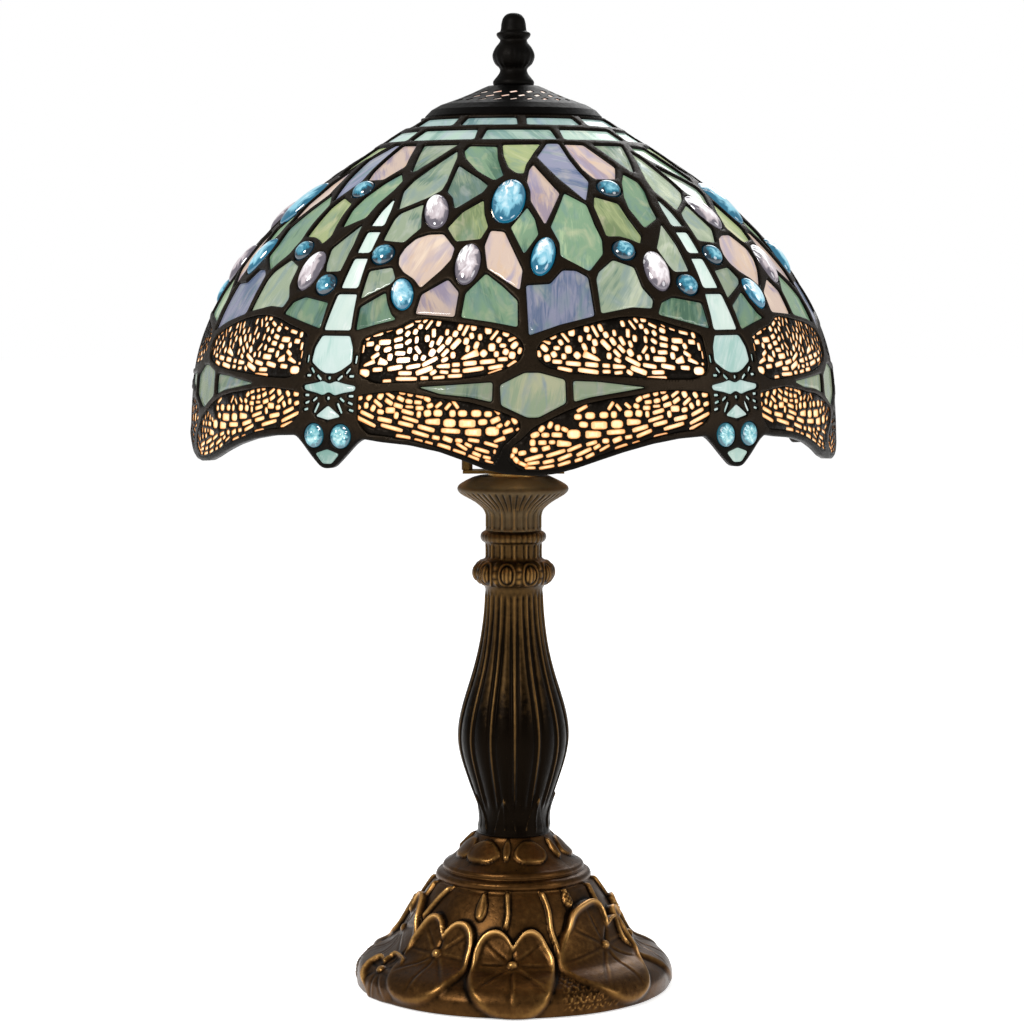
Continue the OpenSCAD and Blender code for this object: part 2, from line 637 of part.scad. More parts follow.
module upper_wing_filigree() { color("#2c2417") wing_filigree(UPPER_WINGS); }
module lower_wing_filigree() { color("#2c2417") wing_filigree(LOWER_WINGS); }

foot_casting();
column_casting();
top_dish();
ballast_weight();
felt_pad();
threaded_tube();
tube_nuts();
lock_washer();
cord_bush();
check_ring();
harp_saddle();
harp_bow();
shade_stud();
shade_rest();
harp_sleeve_left();
harp_sleeve_right();
socket_cap();
socket_shell();
socket_liner();
socket_core();
screw_shell();
centre_contact();
switch_stem();
switch_knob();
bulb_glass();
bulb_cap();
bulb_insulator();
bulb_tip();
bulb_filament();
finial();
vented_cap();
cap_ring();
lead_lattice();
crown_panes_upper();
crown_panes_lower();
leaf_panes_sage();
leaf_panes_jade();
leaf_panes_yellow_green();
leaf_panes_peach();
leaf_panes_lilac();
gap_panes();
tail_panes();
thorax_panes();
head_panes();
eye_jewels();
cabochons_small_blue();
cabochons_large_blue();
cabochons_clear();
upper_wing_glass();
lower_wing_glass();
upper_wing_filigree();
lower_wing_filigree();
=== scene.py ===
"""Looks of a stained glass table lamp: dragonfly shade, vented cap, finial and cast bronze pedestal."""
import math

import bpy
import numpy as np
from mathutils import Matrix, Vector, noise
from mathutils.geometry import delaunay_2d_cdt


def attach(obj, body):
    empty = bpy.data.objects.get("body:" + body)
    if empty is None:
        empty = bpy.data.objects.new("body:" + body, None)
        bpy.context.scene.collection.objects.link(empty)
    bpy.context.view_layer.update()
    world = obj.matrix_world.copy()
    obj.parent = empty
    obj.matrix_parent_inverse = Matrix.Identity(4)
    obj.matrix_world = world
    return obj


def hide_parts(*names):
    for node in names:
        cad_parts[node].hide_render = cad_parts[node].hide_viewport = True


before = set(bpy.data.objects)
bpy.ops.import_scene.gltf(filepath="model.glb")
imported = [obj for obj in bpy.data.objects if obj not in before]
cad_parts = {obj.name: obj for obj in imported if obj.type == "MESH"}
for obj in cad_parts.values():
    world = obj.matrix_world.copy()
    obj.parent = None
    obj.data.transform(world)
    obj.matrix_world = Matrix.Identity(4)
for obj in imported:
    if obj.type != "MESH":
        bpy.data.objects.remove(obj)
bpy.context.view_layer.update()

MM = 0.001
SECTORS = 5
SECTOR = 2 * math.pi / SECTORS
SECTOR_DEG = 360 // SECTORS
TURN = math.radians(-32)
MEAN_R = 150  # radius in mm that turns angles on the wings into widths
BULB_Z = 0.34  # height in metres of the bulb's middle
rng = np.random.default_rng(11)

# ---------------------------------------------------------------- outlines: (azimuth, height) in a sector
SAGE = [
    [(3.4, 354.2), (3.6, 363.6), (4.4, 366.2), (9.3, 370.2), (10, 365.5), (11.2, 359.5), (8.6, 353.2)],
    [(3.4, 367.5), (1.3, 376), (2.2, 381), (5, 386.5), (10.6, 394.4), (12, 391.4), (12.8, 380),
     (12.5, 376), (9.6, 372.6)],
    [(-6.6, 397.3), (9.8, 397.5), (5, 391.6), (0.4, 384.8), (-0.8, 384.6)],
    [(14.2, 387.6), (22, 381.6), (25, 378.4), (23.8, 375), (17.9, 367.8), (16.4, 373), (14.3, 375.6)],
    [(3.2, 329), (3.1, 341), (7.8, 342.6), (9.2, 337.6), (8.6, 335.4)],
    [(62.9, 350.6), (67.6, 361.4), (68.4, 352), (68.3, 340.8), (64.6, 340.6), (63.8, 344)],
    [(47.5, 323), (47.7, 337.5), (48.5, 340.6), (52, 345.8), (56, 342.6), (56.4, 334), (58, 328.6),
     (57.3, 325), (53.5, 325.6)],
]
JADE = [
    [(3.6, 325.5), (8, 331.8), (8.8, 327.3), (10.1, 322.3), (11.2, 320.4), (7.5, 318.2), (3.9, 315.6)],
    [(22.9, 321.4), (23.3, 331.6), (26.8, 340), (30, 334.5), (32.7, 328.5), (32.7, 317.4), (28.5, 319.4)],
    [(58.3, 322.4), (59.6, 327.4), (62.2, 329.6), (68.3, 327.2), (68.3, 316.2)],
    [(62.2, 359.6), (61, 368), (61.8, 373.4), (64.5, 380), (67.6, 384), (70.4, 380.4), (70, 376.4),
     (68, 370), (67.4, 364)],
    [(40.2, 360), (43, 368.6), (45.4, 375), (50.1, 370), (50.3, 361), (50.9, 354.6), (50.2, 348.4),
     (46.6, 340.9), (41.4, 347.4), (41.6, 353)],
    [(31.4, 359.8), (35.3, 368.6), (36.8, 363.6), (37.3, 356.8), (34.1, 348.4)],
    [(13.5, 394.4), (14.6, 396.8), (25.6, 396.4), (26.6, 390.6), (29, 382.8), (26.6, 380.4), (21, 385),
     (15.4, 391)],
]
YELLOW_GREEN = [
    [(52.2, 355.8), (51.9, 369), (53.2, 373.5), (58.9, 370.5), (59.3, 364), (60.5, 356), (59.3, 352.6),
     (57.4, 354.6), (55, 355.9)],
    [(27.7, 397.3), (42.8, 397.6), (39.5, 393.8), (36, 388), (34.9, 383.4), (33, 383.7), (30.5, 386.5),
     (28.6, 392)],
    [(17.4, 359.6), (20, 366.6), (24.5, 371.8), (25.2, 365.6), (26.4, 360), (25, 354.6), (20, 353.6)],
]
PEACH = [
    [(8.6, 347.3), (9.3, 351.3), (11, 355), (13.5, 356.8), (16.8, 357), (19.9, 350.8), (19.6, 346),
     (18, 341.3), (14.7, 333.8), (13, 337.6), (10.5, 340.6), (9, 343.8)],
    [(14.6, 322.8), (15.1, 331), (19.7, 337.4), (22, 332), (21.7, 321.6)],
    [(27.1, 358.5), (30, 358), (33.7, 341.5), (33.1, 333), (27, 342), (26.1, 352)],
    [(52.7, 397.6), (61.2, 397.4), (66.6, 387), (62.8, 381.2), (56, 381.2), (54, 385.6), (53, 392)],
    [(35.8, 380), (36.9, 385.6), (38.4, 388), (44.1, 374.9), (39, 361), (36.3, 371.4), (36.5, 376)],
]
LILAC = [
    [(40.2, 391.4), (45.6, 398), (50.6, 398), (51.2, 391), (52.3, 385.6), (53.8, 380.4), (50.3, 371.4),
     (45, 381.6)],
    [(34.3, 335), (38.8, 335.6), (41.4, 341.4), (44, 341.2), (46.1, 338.4), (46.2, 322), (40, 318.4),
     (34.6, 313.9)],
]
GAPS = [
    [(29.8, 293), (33.8, 298.2), (36.2, 298.2), (40.4, 295.2), (40.5, 285.4), (36, 279.4), (34.2, 279.4),
     (30, 284.5)],
    [(16.5, 291.9), (28.6, 294.2), (28.5, 285.9), (25, 287.9), (20, 289.2)],
    [(41.7, 294.7), (46, 294.2), (54, 291.6), (49, 289.6), (44.5, 287.8), (41.8, 285.9)],
]
CROWN_UPPER = [[(a, 406.6), (a + 31, 406.6), (a + 30.5, 410.4), (a + 0.5, 410.4)] for a in (3.2, 39.2)]
CROWN_LOWER = [[(a - 0.4, 399.6), (a + 32.4, 399.6), (a + 31.6, 404.6), (a + 0.4, 404.6)]
               for a in (18.6, 54.6)]
TAIL = [
    [(-1.7, 360.5), (1.7, 360.5), (1.3, 367), (0.3, 372), (-0.3, 372), (-1.3, 367)],
    [(-1.6, 348.8), (1.6, 348.8), (1.7, 358), (-1.7, 358)],
    [(-1.9, 333.6), (1.9, 333.6), (1.6, 346.4), (-1.6, 346.4)],
    [(-2.8, 315.6), (2.8, 315.6), (2.1, 331), (-2.1, 331)],
]
THORAX = [
    [(-2.9, 313.2), (2.9, 313.2), (3.9, 308), (4.1, 302), (2.2, 298.6), (0.9, 297.2), (-0.9, 297.2),
     (-2.2, 298.6), (-4.1, 302), (-3.9, 308)],
    [(5.2, 291.8), (5, 289.9), (2.6, 288.8), (1.2, 287.7), (0, 289.3), (-1.2, 287.7), (-2.6, 288.8),
     (-5, 289.9), (-5.2, 291.8), (-2.6, 293), (-1.3, 293.9), (0, 292.6), (1.3, 293.9), (2.6, 293)],
    [(-2.5, 278.7), (0, 277.2), (2.5, 278.7), (0, 283.4)],
]
HEAD = [[(-2.4, 262.6), (0, 264.6), (2.4, 262.6), (0.9, 258.3), (-0.9, 258.3)]]
UPPER_WINGS = [
    [(5.6, 297), (5.6, 312), (8.5, 315), (12, 317), (14.5, 320.3), (17, 321), (21, 319.6), (25, 318.4),
     (28.5, 317), (31.5, 315), (33.4, 311.5), (33.8, 308), (33, 303), (31, 299.8), (28, 297.2),
     (24, 295.6), (18, 294.6), (12, 293.4), (9, 293), (7, 295)],
    [(35.7, 307.5), (36.8, 311.8), (39.5, 314.8), (43.5, 317.6), (47, 319.8), (51, 321.4), (54, 321.6),
     (57.5, 320.3), (61, 317.6), (64, 315.6), (66.2, 313.4), (66.4, 300), (65.6, 296.6), (63, 294.4),
     (58, 294.6), (52, 295.8), (46, 296.8), (41, 297.9), (37.4, 300.2), (35.9, 303.5)],
]
LOWER_WINGS = [
    [(5.8, 277), (5.6, 288), (9, 289.3), (13, 290.3), (17.5, 288.6), (21, 287), (25, 285.8),
     (28.2, 283.4), (30.6, 281.2), (33, 278.5), (33.2, 274.5), (32, 271), (30.4, 267.5), (29.6, 263),
     (28.8, 259.4), (27, 259.8), (23.6, 263.4), (20, 266.4), (16, 269), (11, 270.8), (7.6, 271.6)],
    [(31.2, 261.5), (31.4, 266.5), (33.6, 271), (35, 275), (37.6, 278.4), (40.4, 282), (43.6, 285),
     (47.5, 287), (52, 288.4), (56.5, 290.2), (60, 290.4), (64, 289.6), (66.2, 288.8), (66.3, 280),
     (65.4, 276.4), (63, 272.9), (59, 271.8), (55, 269.8), (51, 266.9), (47, 263.9), (43.5, 260.8),
     (40, 258.4), (36, 256.6), (33, 257.2)],
]
RIM = [(0, 256.2), (1.2, 256.7), (3.2, 261.6), (5.2, 267), (6.6, 269.5), (10, 268.3), (15, 267.2),
       (20, 264.6), (24, 261), (27.5, 257.3), (31, 255.3), (34.9, 254.6), (38.7, 255.4), (42, 257.6),
       (46, 261), (50, 264.2), (55, 267.4), (60, 269.4), (65.4, 270.1), (66.8, 267), (68.8, 261.6),
       (70.8, 256.7)]
# Gems: azimuth, height, half width, half length, lean.
SMALL_BLUE = [(4.9, 347.8, 5.4, 5.4, 0), (58.5, 376.7, 5.6, 5.6, 0), (54.9, 349.6, 5.3, 5.3, 0),
              (66.4, 334.8, 5.3, 5.3, 0)]
LARGE_BLUE = [(11.4, 331, 4.9, 7.9, -18), (30.8, 371.6, 7.1, 14.4, 8), (37.9, 347.3, 5, 10.4, 15)]
CLEAR = [(13.5, 366.8, 5.3, 11, -15), (23.1, 344, 5.3, 10.6, 4), (60.7, 341, 5.8, 10.2, 3)]
EYES = [(-2.65, 270.3, 5, 5.2, -8), (2.65, 270.3, 5, 5.2, 8)]
# Slits round the thorax, mirrored about the spine: azimuth, height, long side, short side, lean.
SLITS = [
    (2.1, 295.3, 3.2, 1.1, 40), (3.6, 298.3, 3, 1, 50), (4.3, 296.1, 2.4, 1, 0), (4.9, 303.2, 3.4, 0.9, 88),
    (2.7, 285.9, 2.8, 1, -35), (4.4, 287.6, 2.4, 1, 0), (4.3, 284.5, 2.6, 1, -20),
    (2.3, 282.3, 5, 1.1, -62), (4.5, 281.5, 2.4, 1, -15),
]
DOTS = [(0, 295.2, 1.4, 1.4, 0), (0, 286.5, 1.4, 1.4, 0)]
# Openings of the wing filigree: distance from the spine, height, long side, short side, lean, taper.
UPPER_CELLS = [
    (14.6, 318.6, 2.9, 2, 0), (16, 318.6, 2.6, 1.8, 50), (16.8, 316.8, 4.7, 1.5, 57),
    (18.5, 317.5, 2.9, 2.2, 80), (13.1, 316.1, 4.2, 1.6, 26), (15.2, 316, 2.4, 2.4, 80),
    (11.1, 315.7, 2.2, 0.9, 30), (9.5, 314, 3, 1, 18), (7.4, 312.3, 4.8, 1.6, 12), (5.5, 311, 2.8, 2.3, 80),
    (11.4, 313.8, 3.3, 2.5, 20), (13, 312.9, 2.8, 2.4, 60), (14.4, 313.8, 2.7, 2.4, 70),
    (17.8, 313.4, 3.9, 2, 97), (20.2, 313.8, 2.9, 1.9, 88), (21.7, 313.2, 3, 2.6, 70),
    (22.5, 316.2, 3.6, 2.2, 72), (23.5, 314.9, 5.6, 1.7, 65), (24.9, 315.9, 2.8, 2.6, 100),
    (24.6, 312.5, 2.9, 2.2, 105), (26.1, 312, 3, 2, 95), (27.5, 314.9, 3.5, 3, 95),
    (28.6, 312.9, 5.2, 1.5, 52), (30.6, 313.4, 3, 2.2, -25), (31.8, 311.6, 4.3, 1.6, 30),
    (33.4, 310.8, 2.4, 0.9, 85), (29.4, 310.9, 2.8, 2.2, 60), (30.1, 308.6, 3, 2, 0),
    (32.1, 308.8, 3.8, 2.6, 45), (33, 306.5, 3, 1.8, 75), (28.2, 307.8, 3.6, 3.2, 90),
    (30.6, 306, 2.9, 2.7, 60), (31.7, 304.6, 3.3, 3, 80), (29, 305, 2.7, 2.3, 90),
    (26.8, 305.2, 3.2, 3.1, 45), (23.7, 310.2, 3.2, 2.6, 80), (25.5, 308.5, 3.6, 2.3, 70),
    (24, 307.1, 3.2, 2, 80), (21.9, 309, 5.6, 2.5, 48), (20.6, 310.3, 4, 2.5, 60),
    (19, 310.3, 4.2, 2.2, 65), (16.7, 311.1, 3.2, 2.3, 95), (17.6, 308.8, 3.2, 2.1, 75),
    (14.8, 310.4, 3.2, 1.9, 92), (13.3, 309.5, 3.4, 2.2, 35), (11.4, 310.4, 4.2, 2.1, 15),
    (8.9, 309.1, 5.8, 2.5, 3), (6.1, 308.2, 3.8, 2.2, 5), (4.8, 306, 3.5, 1.8, 88),
    (7.6, 306.6, 2.8, 2.6, 70), (9.6, 306.1, 3.9, 2.5, 15), (11.6, 307.6, 4.2, 2.1, 8),
    (12, 304.6, 4.9, 2, 0), (13.7, 305.9, 2.9, 2.4, 85), (15.2, 306.2, 4.2, 1.7, -50),
    (17.8, 305.2, 3.6, 3, 60), (19.3, 307, 4.2, 2.1, 48), (20.1, 305.2, 4.2, 2, 48),
    (21.5, 304.3, 3, 2.4, 95), (24.4, 304.2, 8, 2.5, 22, 0.75), (16.3, 302.9, 2.6, 2.4, 70),
    (14.9, 303, 2.9, 2.3, 90), (12.7, 301.8, 6.4, 2.5, 3), (10.2, 302.9, 3.3, 2.7, 90),
    (7.4, 303.2, 4.3, 2, 32), (6.4, 300, 5.8, 1.8, 22, 0.5), (9, 300.7, 4.8, 2.7, -15, -0.6),
    (4.4, 302.4, 3.4, 1, 90), (4.6, 298.6, 1.6, 1.3, 0), (5.5, 295.8, 5.8, 3.6, 0), (8.1, 297.5, 4.9, 2, 4),
    (11.3, 298.4, 7.1, 2.2, 10), (13.2, 296.3, 6.3, 1.9, 0), (14.6, 299.2, 6.7, 2, 10),
    (17.5, 301.4, 7.6, 2.1, 27), (16.6, 297.6, 8, 2.5, 20), (18.2, 296.9, 3.3, 2.1, 30),
    (20.1, 297.1, 3.9, 1.6, -5), (19.9, 299.6, 6, 1.9, 3, 0.4), (20.1, 302.3, 3.4, 2.1, 25),
    (22.1, 300.3, 3.5, 1.9, 3), (22.1, 297.8, 3.7, 1.7, 0), (24.5, 301, 6, 2.2, 5),
    (25.1, 298.4, 9.3, 2.1, 8), (27.5, 301.8, 6.7, 2.1, 5), (28.9, 299.6, 6.5, 1.8, 10),
    (28.8, 297.7, 6.3, 1.2, 20), (30.1, 302.9, 4.3, 1.9, 3), (31.7, 300.7, 4.5, 2.2, 35),
    (10, 292.6, 4.1, 1.9, 3), (13.5, 293.9, 9.8, 1.8, 0), (16.7, 294.4, 3.7, 1.8, 0),
    (19.2, 294.8, 5.3, 1.6, 6), (22, 295.6, 6.3, 1.7, 3),
]
LOWER_CELLS = [
    (4.9, 285.5, 3.5, 2.4, 0), (4.7, 281.5, 3.4, 2.1, -15), (6.8, 285.8, 3.4, 2.5, 50),
    (6.3, 282.3, 2.9, 2.5, 90), (8.9, 286.5, 3.5, 2.9, 60), (8.5, 283.3, 5, 1.9, -37),
    (7.6, 281.2, 3.2, 2.5, 60), (9, 279.8, 3.5, 2.3, -10), (11.4, 288.6, 3, 1.2, 15),
    (10.7, 287, 4.7, 1.8, -35), (10.5, 284.1, 4.2, 2.1, -30), (12.9, 288.2, 3.1, 1.9, -8),
    (12.6, 285.6, 3.7, 2.1, -25), (12.2, 282.6, 4.5, 2.1, -15), (10.8, 280.6, 4.6, 2.7, 0),
    (11.9, 278.5, 3.2, 2.4, 80), (14.3, 287.6, 2.8, 2.1, -10), (14.1, 284.6, 3.5, 2.1, -10),
    (14.2, 282.3, 3.7, 1.3, -3), (13.9, 280, 5.9, 1.9, -14), (14.4, 277, 7.8, 1.7, -15),
    (16, 286.9, 3.7, 1.6, -15), (15.7, 284.3, 3.5, 1.8, -5), (16, 281.9, 3.7, 2, 0),
    (15.9, 279.2, 3, 2.2, 85), (17.3, 285.8, 3.5, 2.3, -30), (17.8, 283, 3.1, 2.3, 20),
    (19.3, 283.4, 3.6, 1.7, 40), (17.4, 279.8, 3.5, 3.1, 10), (19.2, 280, 4.1, 3.1, 0),
    (20.9, 282.9, 3.7, 1.7, 50), (22.2, 283.8, 4.3, 1.7, -55), (21.7, 280, 3.1, 2.9, 90),
    (23.4, 280.1, 4.1, 2.9, 0), (25.7, 280.2, 4.5, 3.1, 0), (27.7, 280, 3.5, 2.6, 0),
    (27, 283.4, 5.3, 1.7, -28), (29.2, 281.1, 3.1, 1.5, -50), (18.3, 276.3, 6.7, 2.6, 0, 0.35),
    (21.2, 275.9, 5.6, 3.7, 0), (24.2, 275.9, 7.3, 3.5, 0), (26.8, 276.6, 4.1, 2.7, 5),
    (28.9, 277.5, 4.5, 2.4, 25), (29.6, 275.1, 2.9, 1.9, 30), (30.9, 276.2, 3, 1.9, 50),
    (32.1, 277.4, 3.3, 2.3, -60), (31, 273, 4.7, 2.1, 18), (32.6, 273.8, 1.6, 1.1, 40),
    (28.4, 272.8, 5.9, 4, 0), (25.2, 272.2, 7.1, 3.2, 0, 0.2), (21.4, 272.6, 8.5, 2.2, -3),
    (17.2, 273.4, 7.9, 2.1, -14), (13.6, 274.9, 7.3, 1.9, -12), (9.8, 276.4, 7.1, 2.1, -10),
    (6.5, 278.4, 7.2, 1.9, -22), (6.1, 275.6, 11.6, 1.8, -22), (11.1, 273.2, 10.7, 1.8, -13),
    (16.2, 271, 8.1, 1.8, -15), (4.6, 273.8, 3, 1.6, -40), (6.6, 271.2, 8, 2.8, -20),
    (13.2, 269.5, 6.9, 1.8, -8), (18.9, 269.6, 3.5, 1.9, -10), (20.9, 269, 4.5, 2.3, -20),
    (22.8, 268.6, 3.3, 2, -5), (25.3, 268.8, 5.1, 1.7, -8), (28.2, 267.2, 6.3, 1.6, -16),
    (29.6, 269.3, 5.2, 1.7, 20, 0.4), (15.9, 268.1, 3.9, 1.6, -12), (17.7, 267.1, 3.7, 1.7, -15),
    (20.3, 265.8, 6.1, 2.3, -15), (23.3, 266.1, 5.6, 1.5, -31), (24.4, 266.8, 3.4, 1.6, -25),
    (26.7, 264.7, 6.6, 1.6, -16), (22.9, 263.8, 5.9, 1.5, -18), (25.8, 263, 4.1, 1.7, -22),
    (27.5, 261.7, 3.5, 1.5, -12), (25.3, 261.3, 5.1, 1.9, -20), (27.9, 259.9, 3.8, 1.2, -20),
    (28.8, 264.2, 1.9, 1.2, 80),
]
# The longer lower wing of each pair: its tip and bottom rows, azimuth in the sector.
TIP_CELLS = [
    (32.2, 265.6, 2.6, 2.4, 80), (31.8, 263.4, 2.3, 1.8, 80), (33.4, 264.6, 3.6, 2.2, 10),
    (32.4, 261.6, 3.2, 2.2, -50), (35.3, 266, 3.4, 2.4, 0), (35.1, 269, 3, 2.6, 90),
    (35.5, 272.3, 4, 2.5, 20), (37.2, 272.3, 3.6, 2.2, 0), (39.1, 272.4, 4.7, 2.2, -3),
    (36.6, 274.9, 3.2, 2.3, 50), (38, 276.5, 3.3, 2.2, 65), (39.2, 275.4, 2.9, 2.5, 90),
    (40.4, 274.7, 3.3, 2.1, -25), (36.7, 269.1, 3.6, 2.1, 0), (38.3, 269.3, 2.9, 1.9, 0),
    (40.3, 268.7, 6.4, 2.6, -4, -0.35), (37.3, 266.7, 3.7, 2.1, 15), (38.9, 264.6, 8.8, 1.8, 17),
    (42, 266.9, 6.9, 1.7, 22), (35.3, 262.6, 8.2, 1.9, 15), (35.2, 260.4, 5.5, 1.6, 8),
    (37.7, 261.1, 5.1, 1.7, 12), (40.4, 263, 6.7, 1.8, 22), (43.6, 265.2, 7.3, 1.8, 24),
    (34.7, 258.4, 4.6, 1.3, 0), (37.4, 258.8, 6.7, 1.4, 10), (40.3, 260.3, 5.9, 1.6, 18),
    (42.7, 261.9, 3.7, 1.6, 20), (44.6, 263.7, 4.3, 1.7, 25), (42.7, 259.8, 4.5, 1.1, 22),
    (45, 261.9, 5.5, 1.8, 27), (47.4, 264.7, 6.3, 1.7, 22), (47.1, 266.9, 5.3, 1.3, 28),
    (45.8, 267.4, 3.5, 1.8, 30), (44.9, 268.9, 5.1, 1.8, 15), (47.3, 269.9, 3.3, 2.3, 0),
    (49.3, 270.4, 4.5, 2.3, 20), (51.3, 271.5, 3.5, 1.8, 8), (50, 267.1, 6.1, 2.3, 17),
    (52.6, 268.9, 3.7, 1.7, 15), (54.5, 270.2, 3.7, 1.7, 12), (54.1, 273, 7.9, 1.8, 20),
    (57.1, 271.9, 7.1, 1.9, 10), (60.6, 273.4, 6.9, 2, 6), (64.1, 275.2, 8.2, 2.8, 18),
    (33.5, 259.9, 4.4, 1.7, -25),
]

# ---------------------------------------------------------------- curves
# Height, radius and slope at the knots of the dome's glass surface and of the baluster.
DOME = [(254, 151.8, 0), (290, 150.1, -0.09), (327, 138, -0.56), (364, 109, -1.05), (411, 42.5, -1.65)]
BALUSTER = [(73, 17.6, -0.3), (80, 16.3, 0), (97, 20.8, 0.33), (120, 26.3, 0), (143, 21.5, -0.32),
            (166, 15.7, -0.16), (190, 13.6, 0)]
RIM_Z, RIM_R = DOME[0][:2]


def hermite(knots, z):
    """Radius at height z on the curve through the knots."""
    k = np.array(knots, float)
    z = np.clip(z, k[0, 0], k[-1, 0])
    i = np.clip(np.searchsorted(k[:, 0], z, side="right") - 1, 0, len(k) - 2)
    h = k[i + 1, 0] - k[i, 0]
    t = (z - k[i, 0]) / h
    s = 1 - t
    return (k[i, 1] * s * s * (1 + 2 * t) + k[i + 1, 1] * t * t * (1 + 2 * s)
            + h * t * s * (k[i, 2] * s - k[i + 1, 2] * t))


# Tables up the dome: height, radius, lean of the surface and conformal height.
Z_STEP = 0.25
ZT = np.arange(238, 411.26, Z_STEP)
RT = hermite(DOME, ZT)
LEAN = np.arctan2(hermite(DOME, ZT - 0.5) - hermite(DOME, ZT + 0.5), 1)
VT = np.concatenate([[0], np.cumsum(np.hypot(np.diff(RT), Z_STEP) * 2 / (RT[1:] + RT[:-1]))])


def to_uv(az, z):
    """Azimuth in radians and conformal height, in which small shapes keep their angles."""
    return np.stack([np.radians(az), np.interp(z, ZT, VT)], -1)


def radius(uv):
    return np.interp(uv[..., 1], VT, RT)


def dome_points(uv, off, turn=0.0):
    """Points of the dome at conformal places uv, off mm outside the glass surface."""
    z = np.interp(uv[:, 1], VT, ZT)
    lean = np.interp(uv[:, 1], VT, LEAN)
    r = np.interp(uv[:, 1], VT, RT) + off * np.cos(lean)
    a = uv[:, 0] + TURN + turn
    return np.stack([r * np.sin(a), -r * np.cos(a), z + off * np.sin(lean)], -1)


# ---------------------------------------------------------------- mesh helpers
def make_object(name, verts, faces, body, mats, replaces=(), attrs=None, smooth=True):
    """A mesh object from points in mm, with point attributes, riding a body."""
    me = bpy.data.meshes.new(name)
    me.from_pydata((np.asarray(verts) * MM).tolist(), [], faces.tolist())
    for key, values in (attrs or {}).items():
        values = np.asarray(values, np.float32)
        kind = "FLOAT_VECTOR" if values.ndim == 2 else "FLOAT"
        data = me.attributes.new(key, kind, "POINT").data
        data.foreach_set("vector" if values.ndim == 2 else "value", values.ravel())
    for m in mats:
        me.materials.append(m)
    me.polygons.foreach_set("use_smooth", np.full(len(me.polygons), smooth))
    me.update()
    o = bpy.data.objects.new(name, me)
    bpy.context.scene.collection.objects.link(o)
    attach(o, body)
    if replaces:
        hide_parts(*replaces)
    return o


def boundary(tris):
    """Directed edges that only one triangle has."""
    e = np.concatenate([tris[:, [0, 1]], tris[:, [1, 2]], tris[:, [2, 0]]])
    key = np.sort(e, 1)
    _, inverse, count = np.unique(key, axis=0, return_inverse=True, return_counts=True)
    return e[count[inverse.ravel()] == 1]


def shell(outer, inner, tris):
    """Closed skin: outer points with tris, inner points with tris turned over, and walls between."""
    n = len(outer)
    e = boundary(tris)
    walls = np.concatenate([np.stack([e[:, 1], e[:, 0], e[:, 0] + n], 1),
                            np.stack([e[:, 1], e[:, 0] + n, e[:, 1] + n], 1)])
    return np.concatenate([outer, inner]), np.concatenate([tris, tris[:, ::-1] + n, walls])


def round_loop(p, cut=1.2, step=1.7):
    """An outline in uv with its corners rounded and long edges divided."""
    p = np.asarray(p)
    out = []
    n = len(p)
    for i in range(n):
        a, b, c = p[i - 1], p[i], p[(i + 1) % n]
        r = radius(b)
        la, lc = np.linalg.norm(a - b) * r, np.linalg.norm(c - b) * r
        s = b + (a - b) * min(cut, 0.4 * la) / la
        e = b + (c - b) * min(cut, 0.4 * lc) / lc
        out += [(1 - t) ** 2 * s + 2 * t * (1 - t) * b + t * t * e for t in (0, 0.33, 0.67, 1)]
    full = []
    for i, q in enumerate(out):
        nxt = out[(i + 1) % len(out)]
        k = max(1, int(np.linalg.norm(nxt - q) * radius(q) / step + 0.5))
        full += [q + (nxt - q) * j / k for j in range(k)]
    return np.array(full)


def bean(az, z, long, short, lean, taper=0.0, n=12):
    """A rounded bar or oval in (azimuth, height)."""
    power = 2 / (4.5 if long / short > 1.7 else 2.8)
    t = 2 * np.pi * (np.arange(n) + 0.5) / n
    x = long / 2 * np.sign(np.cos(t)) * np.abs(np.cos(t)) ** power
    y = short / 2 * np.sign(np.sin(t)) * np.abs(np.sin(t)) ** power * (1 + taper * np.cos(t))
    c, s = math.cos(math.radians(lean)), math.sin(math.radians(lean))
    r = np.interp(z, ZT, RT)
    return np.stack([az + np.degrees((x * c - y * s) / r), z + x * s + y * c], -1)


def span(outline, az):
    """Lowest and highest height of an outline at an azimuth."""
    p = np.array(outline)
    q = np.roll(p, -1, 0)
    hit = (p[:, 0] - az) * (q[:, 0] - az) <= 0
    p, q = p[hit], q[hit]
    t = (az - p[:, 0]) / np.where(q[:, 0] == p[:, 0], 1, q[:, 0] - p[:, 0])
    z = p[:, 1] + t * (q[:, 1] - p[:, 1])
    return z.min(), z.max()


def fit_cells(cells, outline, edge=0.5):
    """Beans moved inside an outline. Those that lose most of their size are dropped."""
    p = np.array(outline)
    lo, hi = p[:, 0].min() + 0.22, p[:, 0].max() - 0.22
    loops = []
    for c in cells:
        b = bean(*c)
        b[:, 0] = np.clip(b[:, 0], lo, hi)
        for q in b:
            low, high = span(outline, q[0])
            q[1] = min(max(q[1], low + edge), max(high - edge, low + edge))
        x, y = np.radians(b[:, 0]) * MEAN_R, b[:, 1]
        area = 0.5 * abs(np.dot(x, np.roll(y, -1)) - np.dot(y, np.roll(x, -1)))
        if area > max(0.7, 0.35 * c[2] * c[3]):
            loops.append(b)
    return loops


def moved(cells, az, dz, flip=False):
    """Cells with new azimuths and heights. A flipped set belongs to the wing on the other side."""
    side = -1 if flip else 1
    out = []
    for cell in cells:
        u, z, long, short, lean, taper = tuple(cell) + (0.0,) * (6 - len(cell))
        place = SECTOR_DEG - az(u) if flip else az(u)
        out.append((place, z + dz(u), long, short, side * lean, side * taper))
    return out


def near_az(u):
    """Azimuth of a cell on the wing beside the spine: the innermost ones move out most."""
    return u + 1.1 * (1 - (u - 4.3) / 29)


